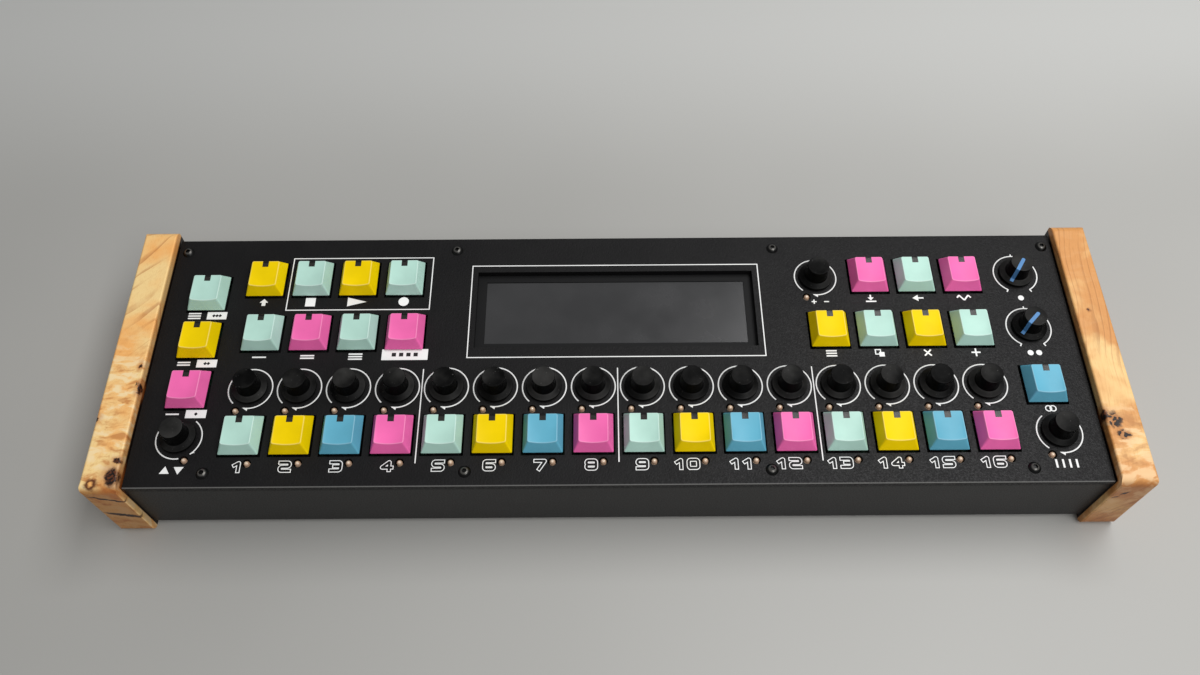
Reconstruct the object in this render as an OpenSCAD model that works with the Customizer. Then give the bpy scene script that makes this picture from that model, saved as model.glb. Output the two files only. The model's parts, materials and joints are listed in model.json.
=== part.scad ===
// Desktop music sequencer: a flat metal case between two wooden cheeks, with sprung keys, knobs,
// small lamps and a recessed display. Millimetres, +Z up, +Y to the back.
// The origin lies on the table, under the middle of the case.

/* [Panel] */
// Distance between the step columns
pitch = 22.5; // [21:0.1:26]
// How far the step columns stand to the right of the panel's middle
steps_x = 0.4; // [-1:0.1:1]
// From the last step column to the controls at each end
side_step = 27.75; // [24:0.25:34]
// From the end controls to the panel's end
side_margin = 20; // [18:0.5:30]
// From the panel's front edge to the row of step keys
front_margin = 24.4; // [24:0.2:30]
// From the step keys to the row of step knobs
knob_step = 24.3; // [22:0.1:28]
// From the step knobs to the lower row of function keys
lower_step = 28.9; // [26:0.1:34]
// From the lower to the upper row of function keys
upper_step = 30.4; // [28:0.1:36]
// From the upper row of function keys to the panel's back edge
back_margin = 24.8; // [20:0.2:30]
// Thickness of the panel plate
panel_t = 3; // [2.5:0.1:4]
// Rounding of the panel's front and back edges
panel_round = 0.8; // [0.2:0.1:1.2]
// Height of the panel's top face over the table
panel_top = 45; // [42:0.5:60]

/* [Case] */
// How far the panel stands out past the tray's front and back walls
panel_lip = 0.8; // [0.2:0.1:2]
// Gap between the panel's ends and the cheeks
panel_gap = 0.7; // [0.1:0.05:1]
// Sheet thickness of the tray
sheet_t = 1.5; // [1:0.1:2]
// Outer radius of the tray's folds
fold_r = 2.2; // [2.1:0.1:3]
// How far the tray's flanges run past the panel screws
flange_past = 2.6; // [2.2:0.1:3]
// Gap between the tray and the table
under_gap = 2.5; // [1:0.5:5]
// Thickness of the wooden cheeks
cheek_t = 16; // [15:0.5:25]
// How far the cheeks stand over the panel
cheek_rise = 5; // [2:0.5:10]
// How far the cheeks stand out at the front and the back of the panel
cheek_over = 3; // [0.5:0.1:5]
// Rounding of the cheeks' outer edges
cheek_round = 1.25; // [1:0.25:5]
// Rounding of the cheeks' inner edges
cheek_inner = 1; // [0.5:0.25:2]
// Radius of the cheeks' corners, seen from the side
cheek_corner = 4.75; // [3:0.25:10]

/* [Keys] */
// Width of a key cap at its rim
cap_w = 18; // [16:0.1:18.4]
// Depth of a key cap at its rim
cap_d = 19.1; // [17:0.1:19.4]
// Width of a cap's top face
cap_top_w = 13.1; // [11:0.1:15]
// Depth of a cap's top face
cap_top_d = 13.5; // [11:0.1:15]
// How far the middle of a cap lies behind its post
cap_back = 0.3; // [0:0.1:0.5]
// Height of a cap from its rim to the sides of its top
cap_h = 6.2; // [5.5:0.1:8]
// Depth of the hollow at the front edge of a cap's top
cap_dish = 0.9; // [0.6:0.1:1.4]
// Depth of the hollow at the back edge of a cap's top
cap_dish_back = 0.2; // [0.1:0.05:0.5]
// Wall of a cap
cap_wall = 1.3; // [1:0.1:2]
// Radius of a cap's corners at the rim
cap_corner = 0.6; // [0.4:0.1:2]
// Gap between a cap's rim and the panel's top face
cap_lift = 0.9; // [0.5:0.1:2]
// Gap between a cap and its cut-out
cap_gap = 0.7; // [0.4:0.05:1]
// Width of the lamp window in a cap
window_w = 2.9; // [2:0.1:4]
// Length of the lamp window in a cap
window_d = 3.2; // [2:0.1:4]
// Depth of the lamp window's seat
window_deep = 0.8; // [0.4:0.1:1]
// How far a key goes down
key_travel = 3; // [2:0.25:3.5]
// Diameter of the post under a cap
post_d = 5.6; // [5:0.1:6]
// How far the post reaches into its switch at rest
post_in = 5; // [4:0.25:6]
// Side of a switch body
switch_w = 15.6; // [14:0.1:16]
// How far a switch's housing leans in on each side
switch_lean = 2.3; // [1.5:0.1:2.6]
// Gap between the switches and the panel
switch_gap = 1.6; // [1:0.1:2.5]
// From one key to the next along the left end
side_key_step = 26.2; // [24:0.1:30]
// From an end knob to the first key behind it
side_first = 23.3; // [22:0.1:28]
// Shift of the upper left key row
upper_left_x = -1.4; // [-3:0.1:3]
// Shift of the lower left key row
lower_left_x = 1.2; // [-3:0.1:3]
// Shift of the right key rows
right_rows_x = -1; // [-3:0.1:3]

/* [Knobs] */
// Diameter of a knob's skirt
skirt_d = 16.2; // [13:0.1:18]
// Height of a knob's skirt
skirt_h = 3; // [2.6:0.1:4]
// Rounding of the skirt's edge
skirt_round = 2.2; // [1:0.1:2.4]
// Diameter of a knob's barrel at its foot
barrel_d = 11; // [10.5:0.1:12.5]
// Diameter of a knob's flat top, with its chamfer
barrel_top_d = 10.4; // [9:0.1:10.5]
// Chamfer round a knob's top
barrel_chamfer = 0.3; // [0.2:0.1:1]
// Height of a knob
knob_h = 9.5; // [8:0.1:14]
// Gap between a knob and the panel
knob_gap = 0.8; // [0.7:0.1:1.5]
// Diameter of the knobs' shafts
shaft_d = 6; // [5:0.1:6.4]
// How far the value knob goes down
push_travel = 0.5; // [0.2:0.05:0.6]
// Diameter of a shaft's bushing
bushing_d = 7.2; // [7:0.1:8]
// Gap between a bushing and its hole in the panel
bushing_gap = 0.4; // [0.2:0.05:0.8]
// Side of an encoder's body
encoder_w = 12.4; // [11:0.1:14]
// Height of an encoder's body
encoder_h = 6.5; // [5:0.1:8]
// From the first right column back to the value knob
value_back = 4; // [2:0.1:5]
// How far the controls at the right end stand off their common line
end_off = 0.9; // [0:0.1:3]
// How far the two turning pots stand back from the key rows
pot_back = 1.2; // [0:0.1:3]
// Running clearance of shafts and posts, on the radius
run_gap = 0.05; // [0.02:0.01:0.1]

/* [Lamps and display] */
// Diameter of a lamp
lamp_d = 3; // [2.5:0.1:3.4]
// Gap round a lamp in its hole
lamp_gap = 0.5; // [0.2:0.05:0.7]
// How far the lamps' tips stand over the panel's top face
lamp_rise = 0.6; // [0:0.05:1]
// Sideways place of a knob's lamp
knob_lamp_x = 5.3; // [4:0.1:6]
// How far in front of its knob a lamp stands
knob_lamp_y = 11.2; // [10:0.1:12]
// Sideways place of a step's lamp
step_lamp_x = 4.35; // [3:0.05:6]
// How far in front of its key a step's lamp stands
step_lamp_y = 12.95; // [12:0.05:13.2]
// Width of the display cut-out
display_w = 134; // [120:0.5:140]
// Depth of the display cut-out
display_d = 42.5; // [38:0.5:44]
// From the step knobs to the middle of the display
display_step = 42.4; // [40:0.1:46]
// How far the display's frame lies under the panel's top face
display_sunk = 3.4; // [3.2:0.05:4.5]
// Width of the visible glass
glass_w = 125.7; // [110:0.1:130]
// Depth of the visible glass
glass_d = 34.8; // [30:0.1:38]
// Thickness of the glass
glass_t = 2; // [1:0.1:3]
// How far the glass lies under its frame
glass_sunk = 0.4; // [0.2:0.05:0.8]
// Gap round the glass
glass_gap = 0.1; // [0.05:0.01:0.2]
// Rim of the display module past the cut-out
module_rim = 4; // [2:0.5:5]

/* [Fasteners and boards] */
// Diameter of the panel screws' thread
screw_d = 3; // [2.5:0.1:3]
// Diameter of a panel screw's head
screw_head_d = 5.7; // [5:0.1:6]
// Height of a panel screw's head
screw_head_h = 1.65; // [1.4:0.05:2]
// Width across the flats of the screws' sockets
screw_socket = 2; // [1.5:0.1:2.4]
// Depth of the screws' sockets
screw_socket_h = 1; // [0.6:0.1:1.1]
// Length of the panel screws under the head
screw_l = 8; // [6:0.5:10]
// Gap round a screw in the panel
screw_gap = 0.2; // [0.1:0.05:0.4]
// From the back corner screws to the panel's ends
screw_end = 4.7; // [4.6:0.1:8]
// From the back screws to the panel's back edge
screw_back = 7.4; // [6:0.1:8]
// From the front screws to the panel's front edge
screw_front = 6.8; // [6:0.1:7]
// From the display cut-out to the back screws beside it
screw_beside = 11.2; // [8:0.1:12]
// Diameter of the cheek screws' shank
wood_screw_d = 3.5; // [3:0.1:4.5]
// Diameter of the cheek screws' head
wood_head_d = 7; // [6.5:0.1:9]
// Height of the cheek screws' head
wood_head_h = 2.4; // [1.8:0.1:3]
// How far the cheek screws reach into the wood
wood_screw_in = 11; // [8:0.5:12]
// From the end cheek screws to the middle one
wood_screw_step = 42; // [30:1:46]
// Thickness of the circuit boards
board_t = 1.6; // [1.2:0.1:2]
// Length of the pillars between the panel and the control board
pillar_l = 12; // [12:0.25:14]
// Diameter of the pillars
pillar_d = 5.5; // [4:0.1:6]
// Width left between the control board and the tray's end walls
board_end = 7; // [5:0.5:10]
// Depth of the socket board
io_depth = 34; // [28:1:40]
// Height of the pillars under the socket board
io_lift = 4; // [3:0.25:6]

/* [Rear sockets] */
// Number of round sockets
din_count = 5; // [2:1:6]
// Distance between the round sockets
din_step = 26; // [22:0.5:30]
// Diameter of a round socket's nose
din_d = 15.6; // [15:0.1:17]
// Width of the ring-shaped slot in a round socket
din_slot = 1.2; // [1:0.1:1.5]
// Diameter of a round socket's pin holes
din_pin = 1.6; // [1.2:0.1:1.8]
// Radius of the circle that the pin holes lie on
din_pins_r = 3.5; // [3:0.1:3.8]
// Width and height of a socket's body
socket_w = 19; // [18:0.5:21]
// Depth of a socket's body
socket_depth = 13; // [11:0.5:16]
// Gap between a socket and its hole in the tray
socket_gap = 0.3; // [0.2:0.05:0.5]
// Width of the data socket
data_w = 12; // [11:0.5:14]
// Height of the data socket
data_h = 11; // [10:0.5:12]
// Diameter of the power inlet's bore
inlet_d = 6.4; // [6:0.1:7]
// Diameter of the power inlet's pin
inlet_pin = 2.1; // [2:0.1:2.5]

/* [Hidden] */
$fn = 48;
// A cut runs this far past the face that it opens
eps = 1;
panel_w = 15*pitch + 2*(side_step + side_margin);
panel_d = front_margin + knob_step + lower_step + upper_step + back_margin;
under_panel = panel_top - panel_t;
row_steps = front_margin - panel_d/2;
row_knobs = row_steps + knob_step;
row_lower = row_knobs + lower_step;
row_upper = row_lower + upper_step;
side_x = 7.5*pitch + side_step;
tray_w = panel_w + 2*panel_gap;
tray_d = panel_d - 2*panel_lip;
tray_h = under_panel - under_gap;
floor_top = under_gap + sheet_t;
cheek_d = panel_d + 2*cheek_over;
cheek_h = panel_top + cheek_rise;
board_top = under_panel - pillar_l;
cap_rim = panel_top + cap_lift;
switch_h = pillar_l - switch_gap;
switch_top = board_top + switch_h;
post_bottom = switch_top - post_in;
shaft_bottom = board_top + board_t + push_travel;
knob_bottom = panel_top + knob_gap;
display_y = row_knobs + display_step;
module_top = panel_top - display_sunk;
glass_top = module_top - glass_sunk;
io_top = floor_top + io_lift + board_t;
rear_wall = tray_d/2;
flange_front = screw_front - panel_lip + flange_past;
flange_back = screw_back - panel_lip + flange_past;

mint = "#b8e1d2";
yellow = "#ffe200";
pink = "#fc6cb4";
blue = "#5cacc8";
STEP_COLOURS = [["mint", mint], ["yellow", yellow], ["blue", blue], ["pink", pink]];

// Middle of a step column, counted from 1 to 16
function col(i) = steps_x + (i - 8.5)*pitch;
function side_row(i) = row_steps + side_first + (i - 1)*side_key_step;

// Single keys: name, place and colour
function row_of_keys(names, first, shift, y, colours) =
    [for (i = [0:len(names) - 1]) [names[i], [col(first + i) + shift, y], colours[i]]];
LEFT_KEYS = [for (i = [1:3]) [str("side_key_", i), [-side_x, side_row(i)], [pink, yellow, mint][i - 1]]];
TRANSPORT_KEYS = row_of_keys(["shift_key", "stop_key", "play_key", "record_key"], 1,
    upper_left_x, row_upper, [yellow, mint, yellow, mint]);
MODE_KEYS = row_of_keys([for (i = [1:4]) str("mode_key_", i)], 1,
    lower_left_x, row_lower, [mint, pink, mint, pink]);
EDIT_KEYS = row_of_keys([for (i = [1:4]) str("edit_key_", i)], 13,
    right_rows_x, row_lower, [yellow, mint, yellow, mint]);
STORE_KEYS = row_of_keys([for (i = [1:3]) str("store_key_", i)], 14,
    right_rows_x, row_upper, [pink, mint, pink]);
LINK_KEY = [["link_key", [side_x - end_off, side_row(1)], blue]];
SINGLE_KEYS = concat(LEFT_KEYS, TRANSPORT_KEYS, MODE_KEYS, EDIT_KEYS, STORE_KEYS, LINK_KEY);
STEP_KEYS = [for (i = [1:16]) [col(i), row_steps]];
KEY_PLACES = concat(STEP_KEYS, [for (k = SINGLE_KEYS) k[1]]);

// Knobs: name and place
STEP_KNOBS = [for (i = [1:16]) [str("step_knob_", i), [col(i), row_knobs]]];
END_KNOBS = [["left_knob", [-side_x, row_steps]], ["right_knob", [side_x + end_off, row_steps]]];
POT_KNOBS = [["pot_knob_a", [side_x - end_off, row_upper + pot_back]],
    ["pot_knob_b", [side_x - end_off, row_lower + pot_back]]];
PLAIN_KNOBS = concat(STEP_KNOBS, END_KNOBS, POT_KNOBS);
value_place = [col(13) - value_back, row_upper];
KNOB_PLACES = concat([for (k = PLAIN_KNOBS) k[1]], [value_place]);

// Lamps: one before each encoder knob, to its left, and one beside each step number
LAMP_PLACES = concat(
    [for (k = STEP_KNOBS) k[1] - [knob_lamp_x, knob_lamp_y]],
    [for (k = STEP_KEYS) k + [step_lamp_x, -step_lamp_y]],
    [END_KNOBS[0][1] + [knob_lamp_x - end_off, -knob_lamp_y],
     END_KNOBS[1][1] - [knob_lamp_x, knob_lamp_y],
     value_place - [knob_lamp_x, knob_lamp_y]]);

// Panel screws: four along the back, four along the front
back_screw_x = [panel_w/2 - screw_end, display_w/2 + screw_beside];
front_screw_x = [7.5*pitch + side_step/2, 3*pitch];
SCREW_PLACES = concat(
    [for (s = [-1, 1], x = back_screw_x) [s*x, panel_d/2 - screw_back]],
    [for (s = [-1, 1], x = front_screw_x) [s*x, screw_front - panel_d/2]]);

// Pillars under the panel, in the gaps between the controls
pillar_back = (row_lower + row_upper)/2 - pillar_d;
pillar_front = (row_steps + row_knobs)/2;
pillar_end = 7.5*pitch + side_step/2;
PILLAR_PLACES = concat(
    [for (s = [-1, 1], x = [pillar_end, display_w/2 + module_rim + 2*pillar_d]) [s*x, pillar_back]],
    [for (x = [-pillar_end, col(4.5), col(8.5), col(12.5), pillar_end]) [x, pillar_front]]);

// Rear sockets, as distances from the middle: round ones, then data and power
din_first = -(din_count - 1)*din_step/2;
DIN_X = [for (i = [0:din_count - 1]) din_first + i*din_step];
data_x = din_first - din_step;
inlet_x = din_first - 2*din_step;
socket_z = io_top + socket_w/2;
io_w = (din_count + 2)*din_step;
io_x = (DIN_X[din_count - 1] + inlet_x)/2;
IO_PILLARS = [for (sx = [-1, 1], sy = [0, 1])
    [io_x + sx*(io_w/2 - pillar_d), rear_wall - sheet_t - pillar_d - sy*(io_depth - 2*pillar_d)]];

// Rectangle with round corners, about its middle
module round_rect(w, d, r) {
    square([w - 2*r, d], center = true);
    square([w, d - 2*r], center = true);
    for (x = [-1, 1], y = [-1, 1]) translate([x*(w/2 - r), y*(d/2 - r)]) circle(r);
}

// Run a profile drawn in Y and Z along X, about the middle
module along_x(l) {
    rotate([90, 0, 90]) translate([0, 0, -l/2]) linear_extrude(l) children();
}

// Run a profile drawn in X and Z along Y, about the middle
module along_y(l) {
    rotate([90, 0, 0]) translate([0, 0, -l/2]) linear_extrude(l) children();
}

// Four-sided taper with flat faces: rim w by d, top tw by td
module taper(w, d, tw, td, h) {
    intersection() {
        along_y(2*d) polygon([[-w/2, 0], [w/2, 0], [tw/2, h], [-tw/2, h]]);
        along_x(2*w) polygon([[-d/2, 0], [d/2, 0], [td/2, h], [-td/2, h]]);
    }
}

// Plate with every cut-out, and rounded front and back edges
module top_panel() {
    color("#1d1c1d") intersection() {
        translate([0, 0, under_panel]) linear_extrude(panel_t) difference() {
            square([panel_w, panel_d], center = true);
            for (p = KEY_PLACES) translate([p.x, p.y + cap_back])
                square([cap_w + 2*cap_gap, cap_d + 2*cap_gap], center = true);
            for (p = KNOB_PLACES) translate(p) circle(d = bushing_d + 2*bushing_gap);
            for (p = LAMP_PLACES) translate(p) circle(d = lamp_d + 2*lamp_gap);
            for (p = SCREW_PLACES) translate(p) circle(d = screw_d + 2*screw_gap);
            translate([0, display_y]) square([display_w, display_d], center = true);
        }
        translate([0, 0, panel_top]) along_x(panel_w) panel_profile();
    }
}

// Section of the panel plate, hung from its top face
module panel_profile() {
    translate([-panel_d/2, -panel_t]) square([panel_d, panel_t - panel_round]);
    translate([panel_round - panel_d/2, -panel_t]) square([panel_d - 2*panel_round, panel_t]);
    for (s = [-1, 1]) translate([s*(panel_d/2 - panel_round), -panel_round]) circle(panel_round);
}

// Folded sheet: floor, front and back walls with flanges, and two end walls
module base_tray() {
    color("#232223") difference() {
        union() {
            translate([0, 0, under_gap + tray_h/2]) along_x(tray_w) tray_section();
            for (s = [-1, 1]) translate([s*(tray_w - sheet_t)/2, 0, under_gap + tray_h/2])
                along_x(sheet_t) round_rect(tray_d, tray_h, fold_r);
        }
        for (p = SCREW_PLACES) translate([p.x, p.y, under_panel - sheet_t - eps])
            cylinder(d = screw_d + 2*run_gap, h = sheet_t + 2*eps);
        for (s = [-1, 1], y = [-1:1]) translate([s*tray_w/2, y*wood_screw_step, under_gap + tray_h/2])
            rotate([0, 90, 0])
            cylinder(d = wood_screw_d + 2*screw_gap, h = 2*sheet_t + eps, center = true);
        translate([0, rear_wall, 0]) rear_holes();
    }
}

// Section of the tray: a closed fold with the top opened between the flanges
module tray_section() {
    difference() {
        round_rect(tray_d, tray_h, fold_r);
        round_rect(tray_d - 2*sheet_t, tray_h - 2*sheet_t, fold_r - sheet_t);
        translate([flange_front - tray_d/2, 0])
            square([tray_d - flange_front - flange_back, tray_h]);
    }
}

// Holes in the rear wall for the sockets' noses
module rear_holes() {
    for (x = DIN_X) translate([x, 0, socket_z]) rotate([90, 0, 0])
        cylinder(d = din_d + 2*socket_gap, h = 2*sheet_t + eps, center = true);
    translate([data_x, 0, io_top + data_h/2])
        cube([data_w + 2*socket_gap, 2*sheet_t + eps, data_h + 2*socket_gap], center = true);
    translate([inlet_x, 0, socket_z]) rotate([90, 0, 0])
        cylinder(d = inlet_d + 2*cap_wall + 2*socket_gap, h = 2*sheet_t + eps, center = true);
}

// Outline of a cheek about its middle: inner edges at -X, more rounded outer edges at +X
module cheek_outline(l) {
    translate([cheek_inner - cheek_t/2, -l/2]) square([cheek_t - cheek_inner - cheek_round, l]);
    translate([-cheek_t/2, cheek_inner - l/2]) square([cheek_t/2, l - 2*cheek_inner]);
    translate([0, cheek_round - l/2]) square([cheek_t/2, l - 2*cheek_round]);
    for (s = [-1, 1]) {
        translate([cheek_inner - cheek_t/2, s*(l/2 - cheek_inner)]) circle(cheek_inner);
        translate([cheek_t/2 - cheek_round, s*(l/2 - cheek_round)]) circle(cheek_round);
    }
}

// Wooden end board with rounded edges and corners, bored for its screws
module cheek(s) {
    color("#d9a866") difference() {
        translate([s*(tray_w + cheek_t)/2, 0, cheek_h/2]) rotate([0, 0, 90 - 90*s]) intersection() {
            along_x(cheek_t) round_rect(cheek_d, cheek_h, cheek_corner);
            along_y(cheek_d) cheek_outline(cheek_h);
            translate([0, 0, -cheek_h/2]) linear_extrude(cheek_h) cheek_outline(cheek_d);
        }
        for (y = [-1:1]) translate([s*tray_w/2, y*wood_screw_step, under_gap + tray_h/2])
            rotate([0, s*90, 0]) translate([0, 0, -eps])
            cylinder(d = wood_screw_d + 2*run_gap, h = wood_screw_in + 2*eps);
    }
}

module left_cheek() {
    cheek(-1);
}

module right_cheek() {
    cheek(1);
}

// Circuit board that carries the switches, encoders, lamps and display
module control_board() {
    front = row_steps - step_lamp_y - lamp_d;
    back = row_upper + switch_w/2 + cap_wall;
    color("#1f4a33") translate([-tray_w/2 + sheet_t + board_end, front, board_top - board_t])
        cube([tray_w - 2*(sheet_t + board_end), back - front, board_t]);
}

// Circuit board behind the rear wall, which carries the sockets
module socket_board() {
    color("#1f4a33") translate([io_x - io_w/2, rear_wall - sheet_t - io_depth, io_top - board_t])
        cube([io_w, io_depth, board_t]);
}

// Display with its dark frame, seated on the control board
module display_module() {
    w = display_w + 2*module_rim;
    d = display_d + 2*module_rim;
    color("#151516") difference() {
        translate([-w/2, display_y - d/2, board_top]) cube([w, d, module_top - board_top]);
        translate([-glass_w/2, display_y - glass_d/2, glass_top - glass_t])
            cube([glass_w, glass_d, glass_t + glass_sunk + eps]);
    }
}

module display_glass() {
    w = glass_w - 2*glass_gap;
    d = glass_d - 2*glass_gap;
    color("#454546") translate([-w/2, display_y - d/2, glass_top - glass_t]) cube([w, d, glass_t]);
}

// Key switches: a square foot and a tapered housing, bored for the post
module key_switches() {
    foot = switch_h - (switch_w - post_d)/2;
    top_w = switch_w - 2*switch_lean;
    color("#2b2b2d") for (p = KEY_PLACES) translate([p.x, p.y, board_top]) difference() {
        union() {
            translate([0, 0, foot/2]) cube([switch_w, switch_w, foot], center = true);
            translate([0, 0, foot]) taper(switch_w, switch_w, top_w, top_w, switch_h - foot);
        }
        translate([0, 0, switch_h - post_in - key_travel - cap_wall])
            cylinder(d = post_d + 2*run_gap, h = switch_h);
    }
}

// Encoders and pots: a square body with a bushing that the shaft runs in
module encoder_bodies() {
    bore_bottom = shaft_bottom - push_travel - run_gap - board_top;
    color("#7d7f82") for (p = KNOB_PLACES) translate([p.x, p.y, board_top]) difference() {
        union() {
            translate([0, 0, encoder_h/2]) cube([encoder_w, encoder_w, encoder_h], center = true);
            cylinder(d = bushing_d, h = panel_top - board_top);
        }
        translate([0, 0, bore_bottom]) cylinder(d = shaft_d + 2*run_gap, h = panel_top);
    }
}

// Lamps: a rod from the board with a domed tip in the panel's hole
module indicator_lamps() {
    tip = panel_top + lamp_rise - lamp_d/2 - board_top;
    color("#e6d3bd") for (p = LAMP_PLACES) translate([p.x, p.y, board_top]) {
        cylinder(d = lamp_d, h = tip);
        translate([0, 0, tip]) sphere(d = lamp_d);
    }
}

// Pillars that hang the control board under the panel, and those under the socket board
module board_pillars() {
    color("#b9bbbd") {
        for (p = PILLAR_PLACES) translate([p.x, p.y, board_top]) cylinder(d = pillar_d, h = pillar_l);
        for (p = IO_PILLARS) translate([p.x, p.y, floor_top]) cylinder(d = pillar_d, h = io_lift);
    }
}

// Button-head screws with six-sided sockets
module panel_screws() {
    dome = (screw_head_d*screw_head_d/4 + screw_head_h*screw_head_h)/(2*screw_head_h);
    color("#161617") for (p = SCREW_PLACES) translate([p.x, p.y, panel_top]) difference() {
        union() {
            intersection() {
                cylinder(d = screw_head_d, h = screw_head_h);
                translate([0, 0, screw_head_h - dome]) sphere(dome);
            }
            translate([0, 0, -screw_l]) cylinder(d = screw_d, h = screw_l);
        }
        translate([0, 0, screw_head_h - screw_socket_h])
            cylinder(d = screw_socket/cos(30), h = screw_head_h, $fn = 6);
    }
}

// Screws that hold the cheeks, put in from inside the tray
module cheek_screws() {
    color("#9a9c9e") for (s = [-1, 1], y = [-1:1])
        translate([s*(tray_w/2 - sheet_t), y*wood_screw_step, under_gap + tray_h/2])
        rotate([0, s*90, 0]) {
            translate([0, 0, -wood_head_h]) cylinder(d = wood_head_d, h = wood_head_h);
            cylinder(d = wood_screw_d, h = sheet_t + wood_screw_in);
        }
}

// Rear sockets on their board: round ones, a data socket and a power inlet
module rear_sockets() {
    color("#1a1a1b") translate([0, rear_wall - sheet_t, 0]) {
        for (x = DIN_X) translate([x, 0, io_top]) round_socket();
        translate([data_x, 0, io_top]) data_socket();
        translate([inlet_x, 0, io_top]) power_inlet();
    }
}

// Round socket: the plug's shell goes into a ring-shaped slot round the core
module round_socket() {
    core_d = din_d - 2*cap_wall - 2*din_slot;
    difference() {
        socket_body(din_d);
        rotate([90, 0, 0]) translate([0, socket_w/2, -sheet_t - eps]) difference() {
            cylinder(d = core_d + 2*din_slot, h = socket_depth - sheet_t);
            translate([0, 0, -eps]) cylinder(d = core_d, h = socket_depth + eps);
        }
        for (a = [0:45:180]) translate([din_pins_r*cos(a), 0, socket_w/2 - din_pins_r*sin(a)])
            rotate([90, 0, 0]) translate([0, 0, -sheet_t - eps])
            cylinder(d = din_pin, h = socket_depth/2);
    }
}

// Square body on the board with a round nose through the wall
module socket_body(nose_d) {
    translate([-socket_w/2, -socket_depth, 0]) cube([socket_w, socket_depth, socket_w]);
    translate([0, 0, socket_w/2]) rotate([90, 0, 0]) translate([0, 0, -sheet_t])
        cylinder(d = nose_d, h = 2*sheet_t);
}

// Data socket: a square shell with a tongue inside
module data_socket() {
    difference() {
        translate([-data_w/2, -socket_depth, 0]) cube([data_w, socket_depth + sheet_t, data_h]);
        translate([0, sheet_t, data_h/2]) difference() {
            cube([data_w - 2*cap_wall, socket_depth, data_h - 2*cap_wall], center = true);
            cube([data_w/2, 2*socket_depth, data_h/4], center = true);
        }
    }
}

// Power inlet: a round bore with a pin on its axis
module power_inlet() {
    difference() {
        socket_body(inlet_d + 2*cap_wall);
        rotate([90, 0, 0]) translate([0, socket_w/2, -sheet_t - eps]) difference() {
            cylinder(d = inlet_d, h = socket_depth - sheet_t);
            cylinder(d = inlet_pin, h = socket_depth);
        }
    }
}

// Key cap with a dished top, a seat for its lamp window and the post under it
module key_cap(place, colour) {
    dish_r = (cap_top_w*cap_top_w/4 + cap_dish*cap_dish)/(2*cap_dish);
    dish_tilt = atan((cap_dish - cap_dish_back)/cap_top_d);
    inner_h = cap_h - cap_dish - cap_wall;
    color(colour) translate([place.x, place.y + cap_back, cap_rim]) {
        difference() {
            intersection() {
                taper(cap_w, cap_d, cap_top_w, cap_top_d, cap_h);
                linear_extrude(cap_h) round_rect(cap_w, cap_d, cap_corner);
            }
            translate([0, -cap_top_d/2, cap_h - cap_dish]) rotate([90 + dish_tilt, 0, 0])
                translate([0, dish_r, 0]) cylinder(r = dish_r, h = 3*cap_w, center = true, $fn = 96);
            translate([0, 0, -eps*inner_h/cap_h])
                taper(cap_w - 2*cap_wall, cap_d - 2*cap_wall, cap_top_w - 2*cap_wall,
                    cap_top_d - 2*cap_wall, inner_h);
            translate([-window_w/2, cap_top_d/2 - window_d,
                cap_h - cap_dish_back - window_deep]) cube([window_w, cap_w, cap_h]);
        }
        translate([0, -cap_back, post_bottom - cap_rim])
            cylinder(d = post_d, h = cap_rim - post_bottom + inner_h + cap_wall/2);
    }
}

// The four step keys of one colour, one in each group of four columns
module step_keys(c) {
    for (group = [0:3]) key_cap(STEP_KEYS[4*group + c], STEP_COLOURS[c][1]);
}

// Half section of a knob: round skirt, tapered barrel and chamfered top
module knob_section() {
    r = skirt_d/2;
    translate([0, skirt_h - skirt_round]) intersection() {
        translate([r - skirt_round, 0]) circle(skirt_round);
        square([r, skirt_round]);
    }
    square([r - skirt_round, skirt_h]);
    square([r, skirt_h - skirt_round]);
    polygon([[0, 0], [barrel_d/2, 0], [barrel_d/2, skirt_h], [barrel_top_d/2, knob_h - barrel_chamfer],
        [barrel_top_d/2 - barrel_chamfer, knob_h], [0, knob_h]]);
}

// Knob without its shaft
module knob_body() {
    rotate_extrude() knob_section();
}

// Knob on its own shaft
module plain_knob(place) {
    color("#1b1a1b") translate([place.x, place.y, 0]) {
        translate([0, 0, knob_bottom]) knob_body();
        translate([0, 0, shaft_bottom]) cylinder(d = shaft_d, h = knob_bottom + skirt_h - shaft_bottom);
    }
}

// The value knob is bored for its shaft, because the shaft also goes down
module value_knob() {
    color("#1b1a1b") translate([value_place.x, value_place.y, knob_bottom]) difference() {
        knob_body();
        translate([0, 0, -eps]) cylinder(d = shaft_d + 2*run_gap, h = 2*skirt_h + eps);
    }
}

module value_shaft() {
    color("#a9abad") translate([value_place.x, value_place.y, shaft_bottom])
        cylinder(d = shaft_d, h = knob_bottom + 2*skirt_h - run_gap - shaft_bottom);
}

top_panel();
base_tray();
left_cheek();
right_cheek();
control_board();
socket_board();
display_module();
display_glass();
key_switches();
encoder_bodies();
indicator_lamps();
board_pillars();
panel_screws();
cheek_screws();
rear_sockets();
value_shaft();
value_knob();
for (c = [0:3]) step_keys(c);
for (k = SINGLE_KEYS) key_cap(k[1], k[2]);
for (k = PLAIN_KNOBS) plain_knob(k[1]);
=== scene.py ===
# %% [markdown]
# # A desktop music sequencer
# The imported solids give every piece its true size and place. This lesson dresses them: softer key
# caps, turned knobs, printed marks, small lamps and figured wood, lit like a plain studio portrait.
# Work goes in millimetres, and each mesh is brought to metres when it is made.

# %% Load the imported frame
import json
import math

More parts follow.
